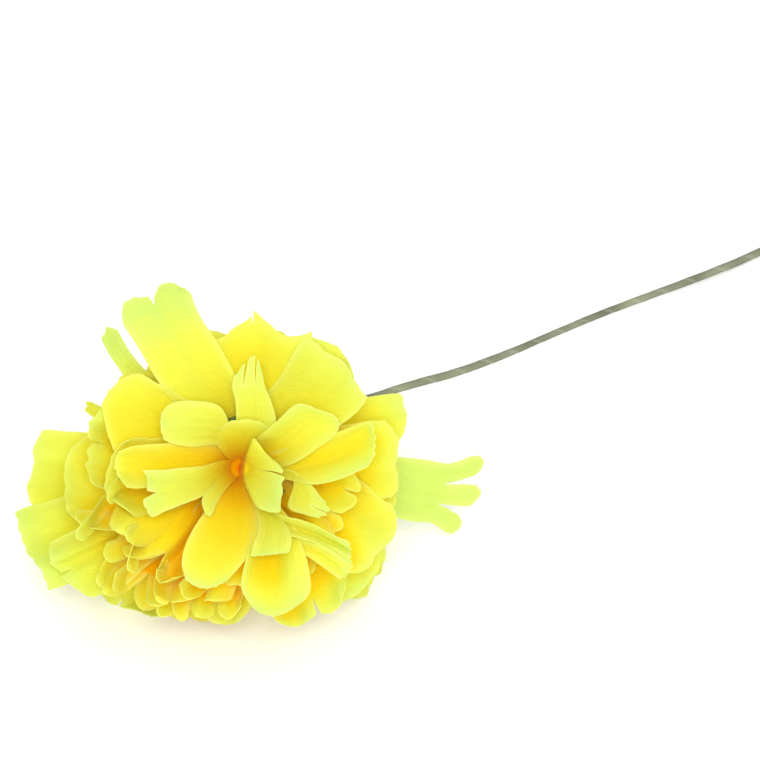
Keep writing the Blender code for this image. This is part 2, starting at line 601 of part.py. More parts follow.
def fill_pockets(mesh):
    """Removes the inner skins that crossing blades leave, so that the space in them is solid."""
    shape = bmesh.new()
    shape.from_mesh(mesh)
    left = set(shape.faces)
    while left:
        skin, edge_of_skin = set(), [left.pop()]
        while edge_of_skin:
            face = edge_of_skin.pop()
            skin.add(face)
            for edge in face.edges:
                for other in edge.link_faces:
                    if other in left:
                        left.remove(other)
                        edge_of_skin.append(other)
        volume = 0.0
        for face in skin:
            corners = [vert.co for vert in face.verts]
            for second, third in zip(corners[1:], corners[2:]):
                volume += corners[0].dot(second.cross(third))
        if volume < 0:
            bmesh.ops.delete(shape, geom=list(skin), context="FACES")
    shape.to_mesh(mesh)
    shape.free()


def fuse(base, others, finish):
    """Joins the objects in a collection to base with one union, and removes them."""
    bpy.context.view_layer.update()
    for other in list(others.objects):
        keep_evaluated(other)
    union = base.modifiers.new("fuse", "BOOLEAN")
    union.operand_type = "COLLECTION"
    union.collection = others
    union.operation = "UNION"
    union.solver = "MANIFOLD"
    bpy.context.view_layer.update()
    keep_evaluated(base)
    fill_pockets(base.data)
    base.data.materials.clear()
    base.data.materials.append(finish)
    for other in list(others.objects):
        bpy.data.objects.remove(other)
    bpy.data.collections.remove(others)


def scene_collection(name):
    made = bpy.data.collections.new(name)
    bpy.context.scene.collection.children.link(made)
    return made


def turned_ring(name, depth, thickness, inner, outer):
    """A flat ring round the head's axis, or a disc where inner is 0."""
    shape = bmesh.new()
    for radius, height in ((outer, 0.5), (outer, -0.5), (inner, -0.5), (inner, 0.5)):
        shape.verts.new((radius, 0.0, depth + height * thickness))
    shape.verts.ensure_lookup_table()
    corners = list(shape.verts)
    edges = [shape.edges.new((corners[i], corners[(i + 1) % 4])) for i in range(4)]
    bmesh.ops.spin(
        shape,
        geom=corners + edges,
        axis=(0, 0, 1),
        cent=(0, 0, 0),
        angle=2 * math.pi,
        steps=HUB_SIDES,
        use_duplicate=False,
        use_merge=True,
    )
    bmesh.ops.remove_doubles(shape, verts=shape.verts, dist=1e-4)
    loose = [edge for edge in shape.edges if not edge.link_faces]
    bmesh.ops.delete(shape, geom=loose, context="EDGES")
    bmesh.ops.recalc_face_normals(shape, faces=shape.faces)
    shape.transform(HEAD @ Matrix.Rotation(math.radians(7), 4, "Z"))
    mesh = bpy.data.meshes.new(name)
    shape.to_mesh(mesh)
    shape.free()
    return bpy.data.objects.new(name, mesh)


def petal_layer(layer, cloth, into):
    """One stamped layer: its petals and its hub, fused."""
    draw = random.Random(SEED * 100 + layer)
    blades = scene_collection(f"blades_{layer}")
    made = []
    for petal in PETALS.get(layer, ()):
        across = ACROSS + 2 * max(0, ENDS[petal[3]][0] - 2)
        made.append(petal_points(layer, petal, draw, LAYER_ROWS[layer - 1], across))
    if layer == LAYERS:
        made = [front_petal_points(number, FRONT_ROWS, FRONT_ACROSS) for number in range(len(FRONT_PETALS))]
    for points, faces in made:
        blade = sheet_object("blade", rest_on_table(to_table(points), layer), faces)
        blades.objects.link(blade)
        thicken(blade, CLOTH)
    bore = PEG_RADIUS + GAP if layer < LAYERS else 0.0
    rim = hub_radius(layer) + HUB_RIM * (layer < LAYERS)
    hub = turned_ring(f"petal_layer_{layer}", hub_depth(layer), HUB_THICKNESS, bore, rim)
    into.objects.link(hub)
    fuse(hub, blades, cloth)
    return hub


def support_star(plastic, into):
    """A ring with arms that run between the two front layers."""
    arms = scene_collection("arms")
    steps = 4
    for arm in range(STAR_ARMS):
        theta = math.radians(STAR_FIRST_ARM + 360 / STAR_ARMS * arm)
        rows = np.linspace(0, 1, steps + 1)
        along = rows * STAR_ARM_LENGTH - ROOT * (rows == 0)
        front = spine(LAYERS, theta, along, {})
        behind = spine(LAYERS - 1, theta, along, {})
        out, height = (front[0] + behind[0]) / 2, (front[1] + behind[1]) / 2
        points = []
        for side in (-1, 1):
            across = side * STAR_ARM_WIDTH / 2
            x = out * math.cos(theta) - across * math.sin(theta)
            y = out * math.sin(theta) + across * math.cos(theta)
            points.append(np.stack([x, y, height], 1))
        faces = [[i, i + 1, i + steps + 2, i + steps + 1] for i in range(steps)]
        blade = sheet_object("arm", to_table(shared_warp(np.concatenate(points))), faces)
        arms.objects.link(blade)
        thicken(blade, STAR_THICKNESS)
    star = turned_ring("support_star", STAR_DEPTH, STAR_THICKNESS, PEG_RADIUS + GAP, STAR_RADIUS)
    into.objects.link(star)
    fuse(star, arms, plastic)


def calyx(plastic, into):
    """The cup behind the head, turned, with its peg, its socket and its sepals."""
    peg_end = hub_depth(LAYERS) - HUB_THICKNESS / 2 - GAP
    bore = WIRE_RADIUS + 0.25
    profile = (
        (0.0, peg_end),
        (PEG_RADIUS - 0.2, peg_end),
        (PEG_RADIUS, peg_end - 0.3),
        (PEG_RADIUS, CUP_TOP),
        (CUP_RADIUS - 0.3, CUP_TOP),
        (CUP_RADIUS, CUP_TOP - 0.4),
        (CUP_RADIUS - 0.7, CUP_TOP - 2.8),
        (CUP_RADIUS - 1.9, CUP_TOP - 5.6),
        (NECK_RADIUS + 0.1, CUP_END + 1.5),
        (NECK_RADIUS, CUP_END),
        (bore, CUP_END),
        (bore, CUP_END + SOCKET_DEPTH),
        (0.0, CUP_END + SOCKET_DEPTH),
    )
    mesh = bpy.data.meshes.new("calyx")
    points = [(x, 0.0, z) for x, z in profile]
    mesh.from_pydata(points, [(i, i + 1) for i in range(len(points) - 1)], [])
    cup = bpy.data.objects.new("calyx", mesh)
    into.objects.link(cup)
    turn = cup.modifiers.new("turn", "SCREW")
    turn.steps = turn.render_steps = 16
    turn.use_merge_vertices = True
    turn.merge_threshold = 0.0001
    bpy.context.view_layer.update()
    keep_evaluated(cup)
    cup.data.transform(HEAD)
    leaves = scene_collection("sepals")
    steps = 4
    for number in range(SEPALS):
        theta = 2 * math.pi * (number + 0.3) / SEPALS
        points = []
        for side in (-1, 0, 1):
            for row in range(steps + 1):
                s = row / steps
                out = CUP_RADIUS - 1.4 + (SEPAL_LENGTH + 1.4) * math.sin(1.25 * s)
                height = CUP_TOP - 0.9 - 2.6 * s**2
                across = side * SEPAL_WIDTH / 2 * math.cos(math.pi / 2 * s**1.6) * 0.98 + side * 0.04
                x = out * math.cos(theta) - across * math.sin(theta)
                y = out * math.sin(theta) + across * math.cos(theta)
                points.append((x, y, height - 0.3 * abs(side)))
        faces = [
            [k + i, k + i + 1, k + i + steps + 2, k + i + steps + 1]
            for k in (0, steps + 1)
            for i in range(steps)
        ]
        leaf = sheet_object("sepal", to_table(np.array(points)), faces)
        leaves.objects.link(leaf)
        thicken(leaf, STAR_THICKNESS)
    fuse(cup, leaves, plastic)


def smooth_route(route, count):
    """Evenly spaced points on a smooth curve through the route's own points."""
    knots = np.array(route, float)
    steps = np.linalg.norm(np.diff(knots, axis=0), axis=1)
    at = np.concatenate([[0], np.cumsum(steps)])
    slope = np.gradient(knots, at, axis=0)
    wanted = np.linspace(0, at[-1], count)
    piece = np.clip(np.searchsorted(at, wanted, side="right") - 1, 0, len(steps) - 1)
    width = steps[piece][:, None]
    t = ((wanted - at[piece]) / steps[piece])[:, None]
    one, two = knots[piece], knots[piece + 1]
    ease = t * t * (3 - 2 * t)
    pull = width * (slope[piece] * t * (1 - t) ** 2 - slope[piece + 1] * t * t * (1 - t))
    return one + (two - one) * ease + pull


def stem_route():
    """The stem's middle from the bottom of the calyx's socket to the cut end."""
    depths = (CUP_END + SOCKET_DEPTH - GAP, CUP_END - 1.0, CUP_END - 5.0)
    axis = to_table(np.array([[0.0, 0.0, depth] for depth in depths])) / MM
    spot = np.array([GATHER_X, GATHER_Y, 0.0])
    return smooth_route(np.concatenate([axis, np.array(STEM_ROUTE) + spot]), STEM_POINTS)


def tube(name, route, radius, swells, capped):
    """A tube along a route, its radius scaled by swells read along it."""
    curve = bpy.data.curves.new(name, "CURVE")
    curve.dimensions = "3D"
    curve.bevel_depth = radius * MM
    curve.bevel_resolution = 2
    curve.use_fill_caps = capped
    line = curve.splines.new("POLY")
    line.points.add(len(route) - 1)
    places = np.linspace(0, 1, len(route))
    scale = np.interp(places, [s[0] for s in swells], [s[1] for s in swells])
    for point, place, size in zip(line.points, route * MM, scale):
        point.co = (*place, 1.0)
        point.radius = size
    return bpy.data.objects.new(name, curve)


def stem(steel, paper, into):
    """The wire in the calyx's socket, and the tape wound round it from the neck on."""
    route = stem_route()
    wire = tube("stem_wire", route, WIRE_RADIUS, ((0, 1), (1, 1)), True)
    wire.data.materials.append(steel)
    into.objects.link(wire)
    neck = to_table(np.array([[0.0, 0.0, CUP_END - GAP]])) / MM
    beyond = np.linalg.norm(route - route[0], axis=1) > SOCKET_DEPTH + 0.5
    taped = np.concatenate([neck, route[beyond]])
    skin = tube("stem_tape", taped, TAPE_OUTER, TAPE_SWELLS, False)
    into.objects.link(skin)
    bpy.context.view_layer.update()
    mesh = evaluated_mesh(skin)
    bpy.data.objects.remove(skin)
    tape = bpy.data.objects.new("stem_tape", mesh)
    into.objects.link(tape)
    thicken(tape, TAPE_OUTER - TAPE_INNER, -1.0)
    tape.data.materials.clear()
    tape.data.materials.append(paper)


def hang_on_head(into):
    """An empty at the gather that carries the head's parts."""
    head = bpy.data.objects.new("head", None)
    into.objects.link(head)
    head.location, head.rotation_euler = HEAD.to_translation(), HEAD.to_euler()
    bpy.context.view_layer.update()
    for thing in into.objects:
        if thing.type == "MESH":
            thing.parent = head
            thing.matrix_parent_inverse = head.matrix_world.inverted()


def clear_scene():
    for thing in list(bpy.data.objects):
        bpy.data.objects.remove(thing)


def main():
    clear_scene()
    flower = scene_collection("artificial_chrysanthemum")
    cloth = material("petal_cloth", COLOURS["cloth"], 0.8)
    green = material("green_plastic", COLOURS["green"], 0.45)
    steel = material("wire_steel", COLOURS["steel"], 0.4, 1.0)
    paper = material("floral_tape", COLOURS["tape"], 0.85)
    for layer in range(1, LAYERS + 1):
        petal_layer(layer, cloth, flower)
    support_star(green, flower)
    calyx(green, flower)
    hang_on_head(flower)
    stem(steel, paper, flower)


main()
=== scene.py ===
"""The looks of the cloth chrysanthemum on its taped wire, lying on a pale table.

The petal layers repeat the source's rules with a finer mesh, thinner cloth, crinkles and frayed
ends. Lengths are in millimetres up to the point where a mesh is made, and angles are in degrees
unless a name says otherwise. The head has its own frame: x to the right and y up as its face is
seen, z out of the face, and the gather of the petals at its origin.
"""

import math
import random

import bpy
import numpy as np
from mathutils import Matrix, Vector


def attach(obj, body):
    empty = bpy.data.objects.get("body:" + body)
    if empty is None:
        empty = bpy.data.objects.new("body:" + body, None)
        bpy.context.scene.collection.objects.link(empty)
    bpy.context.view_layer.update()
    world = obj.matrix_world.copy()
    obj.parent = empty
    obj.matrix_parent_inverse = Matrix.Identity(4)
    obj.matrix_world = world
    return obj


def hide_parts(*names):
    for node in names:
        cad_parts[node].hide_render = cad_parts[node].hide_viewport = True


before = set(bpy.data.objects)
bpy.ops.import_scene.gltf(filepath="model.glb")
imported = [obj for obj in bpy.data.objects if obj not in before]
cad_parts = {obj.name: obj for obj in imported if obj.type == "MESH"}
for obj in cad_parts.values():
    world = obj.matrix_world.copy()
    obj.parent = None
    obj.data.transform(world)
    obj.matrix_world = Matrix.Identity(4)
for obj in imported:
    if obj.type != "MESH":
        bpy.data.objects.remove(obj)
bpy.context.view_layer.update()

MM = 0.001

# How the head lies, as in the source
GATHER_HEIGHT = 25.7
FACE_TILT = 40.0
FACE_TURN = 36.0
GATHER_X = -53.3
GATHER_Y = 2.25

# Layers, as in the source. The cloth is shown thinner than the solids, which need more to be closed
SOLID_CLOTH = 0.65
CLOTH = 0.16
GAP = 0.3
SEED = 11
LAYERS = 6
HUB_STEP = 1.5
STAR_ROOM = 0.7
HUB_RADIUS = 1.6
HUB_RADIUS_STEP = 0.7
LEANS = (24.0, 34.0, 44.0, 55.0, 66.0, 78.0)
FRONT_BEND = 62.0
BEND_STEP = 2.0
BEND_LENGTH = 30.0

# How much less a petal bends back: wherever it points, straight down, to the right, and most of all
# towards the lower left, with the direction and the width of that part
UNBENT = 10.0
UNBENT_DOWN = 12.0
UNBENT_RIGHT = -3.0
UNBENT_LOWER_LEFT = 12.0
LOWER_LEFT = 225
LOWER_LEFT_WIDTH = 38

# The room from layer to layer: at the hub, how much more there is further out, and how soon; then,
# where the star is between them, at the hub and more per millimetre
ROOM = (0.1, 2.2, 20)
STAR_GAP = (0.02, 0.085)

# The head's pleats: how deep they are, how many large and small ones there are, how far out they
# start and are full, and where they are weakest
PLEAT = 2.2
LARGE_PLEATS = 7
SMALL_PLEATS = 12
PLEAT_START = 7
PLEAT_GROWTH = 20
PLEAT_WEAK = 45

# A petal, as in the source: how far its root goes into the hub, its width there as a share of its
# greatest, the share of its length at which it is widest and at which its end begins to be cut to
# shape, how much of the end a curl takes, and how much its fingers differ in length and tilt
ROOT = 0.3
ROOT_WIDTH = 0.2
WIDEST = 0.62
END_START = 0.45
LIP = 6.0
UNEVEN = 0.8
FINGER_TILT = 1.2

# How softly the lowest petals are pressed flat above the table
PRESS = 0.6

# Fine petal mesh, the angle above which an edge of the cloth is drawn sharp, and where the random
# draws of the finest shapes start
ROWS = 44
ACROSS = 30
SHARP_ANGLE = 50.0
FINE_SEED_STEP = 1000
FRONT_FINE_SEED = 500

# What is drawn at random for a petal, in this order, within these limits
DRAWN = {
    "cup": (-1.0, 2.5),
    "twist": (-1.8, 1.8),
    "waves": (1.2, 2.4),
    "ruffle": (1.2, 3.0),
    "phase": (0, 2 * math.pi),
    "sweep": (-5, 5),
}

# What a petal has unless its row in the tables says otherwise
PLAIN = dict(curl=0.0, loose=0.0, crinkle=1.0, pale=0.0, swing=0.0, slant=0.0)
# A front petal's relief setting is painted light and shade: its cloth is paler where it stands off and more
# golden where it sinks.
FRONT_PLAIN = dict(glow=6.0, tip=0.14, painted_relief_shade=0.045)

# The dye along a petal, from the gather to its end: the reach of the orange heart, the distance from
# the axis where lime ends begin, and how much further they do at the left; then the painted light and
# shade that make bulging cloth paler and sunken cloth more golden, and the width of the pale line along
# a cut edge, which is partly painted light
HEART = 9.0
LIME_START = 28.5
LIME_LEFT = 10
PAINTED_RELIEF_SHADE = 0.03
RIM_WIDTH = 0.8

# Painted shade in pockets between the petals: cloth that lies deep below its neighbours is made more
# golden, where less light reaches it. Cells to each side of the heights' mean, half the map's size, how
# deep one starts and is full, in millimetres, the step in colour of each layer, the colour where it
# ends, how strong all this is, and how much more it is below the gather and less above it
POCKET_REACH = 3
POCKET_SPAN = 45
POCKET_START = 0.5
POCKET_DEEP = 6.0
POCKET_PAINTED_SHADE = (0.08, 0.12, 0.18, 0.32, 0.34, 0.1)
POCKET_FLOOR = 0.26
POCKET_EVEN = 0.62
POCKET_BELOW = 0.38
NO_CLOTH = -99.0

# Dyes along the cloth's tone, from the heart to the lime ends, the pale colour of a cut edge, partly
# the cloth's own and partly painted light that lifts the shade where petals overlap, and the share of
# the light that goes through the cloth
DYES = (
    (0.0, (1.0, 0.34, 0.0)),
    (0.12, (1.0, 0.51, 0.0)),
    (0.3, (1.0, 0.7, 0.003)),
    (0.5, (0.94, 0.8, 0.018)),
    (0.68, (0.88, 0.845, 0.062)),
    (0.85, (0.82, 0.86, 0.12)),
    (1.0, (0.71, 0.84, 0.2)),
)
EDGE_DYE_AND_LIGHT = (0.88, 0.95, 0.34)
LIGHT_THROUGH = 0.45

# Stem: the tape's radius, the length of a turn, its thickness and its mesh, how thick it is along its
# length, and the lowest that it may be
TAPE_OUTER = 0.56
TAPE_PITCH = 7.0
TAPE_THICKNESS = 0.14
TAPE_RINGS = 620
TAPE_SIDES = 20
TAPE_PLACES = (0.0, 0.28, 0.36, 0.46, 0.55, 0.7, 0.85, 1.0)
TAPE_SWELLS = (1.0, 0.98, 1.2, 1.14, 0.95, 1.0, 1.15, 1.15)
TAPE_LOWEST = 0.02

# Its route: depths behind the gather on the head's axis, then points from below the gather on
NECK_DEPTH = -18.3
NECK_STEPS = (0.0, 0.7, 4.7)
STEM_ROUTE = (
    (18.0, 20.0, 9.4),
    (30.0, 20.2, 9.3),
    (42.1, 18.0, 9.0),
    (50.3, 17.5, 8.1),
    (61.0, 16.4, 6.9),
    (72.7, 16.3, 5.7),
    (85.0, 16.8, 4.6),
    (97.5, 17.1, 3.6),
    (109.7, 16.9, 2.6),
    (122.0, 16.5, 1.7),
    (134.8, 16.4, 0.9),
    (144.0, 16.6, 0.65),
)

# Camera: the photograph's size and scale in pixels, how far the gather is left of its middle and
# below it, and how far off the eye is, in metres
PICTURE = 760
PIXELS_A_MM = 5.6
GATHER_LEFT = 140
GATHER_BELOW = 88
EYE_DISTANCE = 0.6
SENSOR = 36.0

# Light: the surround's strength, then each lamp's power in watts, its size and its place, the place
# that the lamps are aimed at, and half the table's width, all in metres
SURROUND = 0.9
LAMPS = {
    "key": (7.2, 0.5, (-0.45, -0.62, 0.75)),
    "fill": (1.2, 1.2, (0.6, -0.7, 0.6)),
}
LAMP_AIM = (-0.05, 0.0, 0.02)
TABLE = 3.0

# End of a petal: fingers, slit depth, how far a finger's sides are rounded off, how far the
# petal's outer corners are, the share of a finger's width that the slit takes at its mouth, and how
# much the fingers spread
ENDS = {
    "stray": (3, 7.5, 1.6, -0.6, 0.3, 0.45),
    "pair": (2, 1.6, 1.5, 0.6, 0.1, 0.0),
    "square": (1, 0.0, 0.0, 0.2, 0.0, 0.0),
    "finger": (1, 0.0, 0.0, 1.2, 0.0, 0.0),
    "lobes": (2, 2.4, 0.6, 1.8, 0.09, 0.0),
    "trio": (3, 3.2, 1.2, 1.4, 0.1, 0.0),
    "round": (1, 0.0, 0.0, 3.0, 0.0, 0.0),
    "boxy": (1, 0.0, 0.0, 1.3, 0.0, 0.0),
    "strips": (4, 7.0, 1.3, 0.8, 0.2, 0.1),
    "fan": (2, 1.5, -2.3, 0.0, 0.03, 0.0),
}

# Petals by layer, back to front: where each points as the face is seen, how far it reaches, half
# its width, its end, and what is particular to it. A negative pale, which the lower petals have, is
# painted shade: it makes them more golden, as the light from above reaches them less
PETALS = {
    1: (
        (-6.3, 42.0, 5.6, "stray", dict(cup=0.5, ruffle=0.5, crinkle=0.25, pale=0.25, sweep=0)),
        (68, 21.5, 8.5, "lobes", {}),
        (95, 22.5, 8.5, "lobes", {}),
        (128, 25, 8.0, "lobes", {}),
        (159.5, 30.3, 1.2, "finger", dict(cup=0.0, ruffle=0.3, crinkle=0.2, sweep=0)),
        (189, 36.5, 8.5, "round", {}),
        (226, 33, 8.0, "lobes", {}),
        (273, 28, 9.0, "trio", dict(pale=-0.15)),
        (326, 32.5, 8.0, "round", dict(pale=-0.1)),
    ),
    2: (
        (5, 27, 8.5, "lobes", {}),
        (44, 24.0, 9.0, "lobes", {}),
        (110, 23.5, 8.5, "lobes", {}),
        (142, 34.5, 1.9, "finger", dict(cup=0.0, ruffle=0.2, crinkle=0.1, pale=0.2, sweep=-9)),
        (183, 38.4, 7.6, "boxy", dict(cup=0.5, ruffle=1.2, curl=0.5, crinkle=0.6, sweep=0)),
        (204, 40.6, 7.6, "square", dict(cup=0.5, ruffle=1.2, curl=0.8, crinkle=0.6, sweep=0)),
        (250, 29.0, 9.0, "trio", dict(pale=-0.15)),
        (298, 31, 9.0, "lobes", dict(pale=-0.1)),
    ),
    3: (
        (20, 29.6, 5.2, "boxy", dict(cup=0.5, ruffle=0.6, crinkle=0.4, slant=-2.0)),
        (-18, 27, 8.0, "lobes", {}),
        (60, 23.5, 9.0, "lobes", {}),
        (120, 26, 9.0, "lobes", {}),
        (152, 27, 8.0, "round", {}),
        (188, 32, 8.5, "round", dict(curl=3.0, ruffle=1.2)),
        (212, 37.0, 6.0, "lobes", dict(ruffle=2.0, curl=1.5, slant=1.8)),
        (262, 28, 8.5, "lobes", {}),
        (318, 31.5, 8.5, "round", {}),
    ),
    4: (
        (0, 27.0, 7.0, "boxy", dict(cup=0.8, ruffle=0.8, crinkle=0.3)),
        (-26, 29.5, 7.3, "round", dict(cup=0.8, ruffle=1.0, crinkle=0.3)),
        (47, 26.9, 7.0, "round", dict(cup=1.0, ruffle=0.8, crinkle=0.5, pale=0.08)),
        (66, 23, 8.5, "round", dict(cup=0.5, ruffle=0.4, crinkle=0.3)),
        (97, 22.3, 8.5, "round", dict(cup=0.5, ruffle=0.4, crinkle=0.3)),
        (170, 29, 8.0, "lobes", dict(curl=4.0)),
        (203, 31, 8.0, "strips", dict(curl=5.0, crinkle=1.5, pale=-0.1, loose=1.8, swing=10)),
        (231, 28.5, 8.5, "strips", dict(ruffle=3.0, curl=4.5, pale=-0.14, loose=1.8, swing=-12)),
        (254, 27, 7.0, "trio", dict(ruffle=3.0, curl=1.5, pale=-0.14, loose=1.2)),
        (303, 29.5, 8.0, "lobes", dict(curl=1.0)),
    ),
    5: (
        (84, 24.2, 11.5, "fan", dict(cup=0.0, ruffle=0.6, crinkle=0.4, sweep=0, lean=3)),
        (115, 36.3, 6.4, "pair", dict(cup=0.8, ruffle=0.5, crinkle=0.25, pale=0.08, sweep=0, lean=-2)),
        (153, 27.4, 8.0, "round", dict(cup=1.0, ruffle=0.8, crinkle=0.5)),
        (44, 25.7, 7.0, "square", dict(lean=-2, cup=0.6, ruffle=0.4, crinkle=0.4, pale=0.1)),
        (178, 24.5, 7.5, "round", dict(cup=1.5, curl=3.0, ruffle=0.8, crinkle=0.6)),
        (200, 24.5, 7.5, "trio", dict(ruffle=2.5, curl=4.0, crinkle=1.4, pale=-0.1, loose=1.0, swing=10)),
        (226, 24.5, 8.0, "strips", dict(ruffle=2.5, curl=4.0, crinkle=1.2, pale=-0.14, loose=1.6, swing=14)),
        (250, 24, 7.0, "trio", dict(ruffle=2.5, curl=3.0, crinkle=1.2, pale=-0.14, loose=1.2, swing=8)),
        (283, 22, 6.4, "boxy", dict(curl=1.5, ruffle=0.3, crinkle=0.4)),
        (-48, 22.5, 6.0, "lobes", dict(ruffle=3.0, curl=1.5, crinkle=1.6)),
        (-22, 21, 6.5, "trio", dict(cup=0.5, ruffle=1.5, curl=1.0)),
    ),
}

# Half the width of a front petal at the gather
FRONT_ROOT = 0.9

# Where the eye is in the head's frame: the front petals' points are given as they are seen from it
EYE = (25.0, 15.7, 600.0)

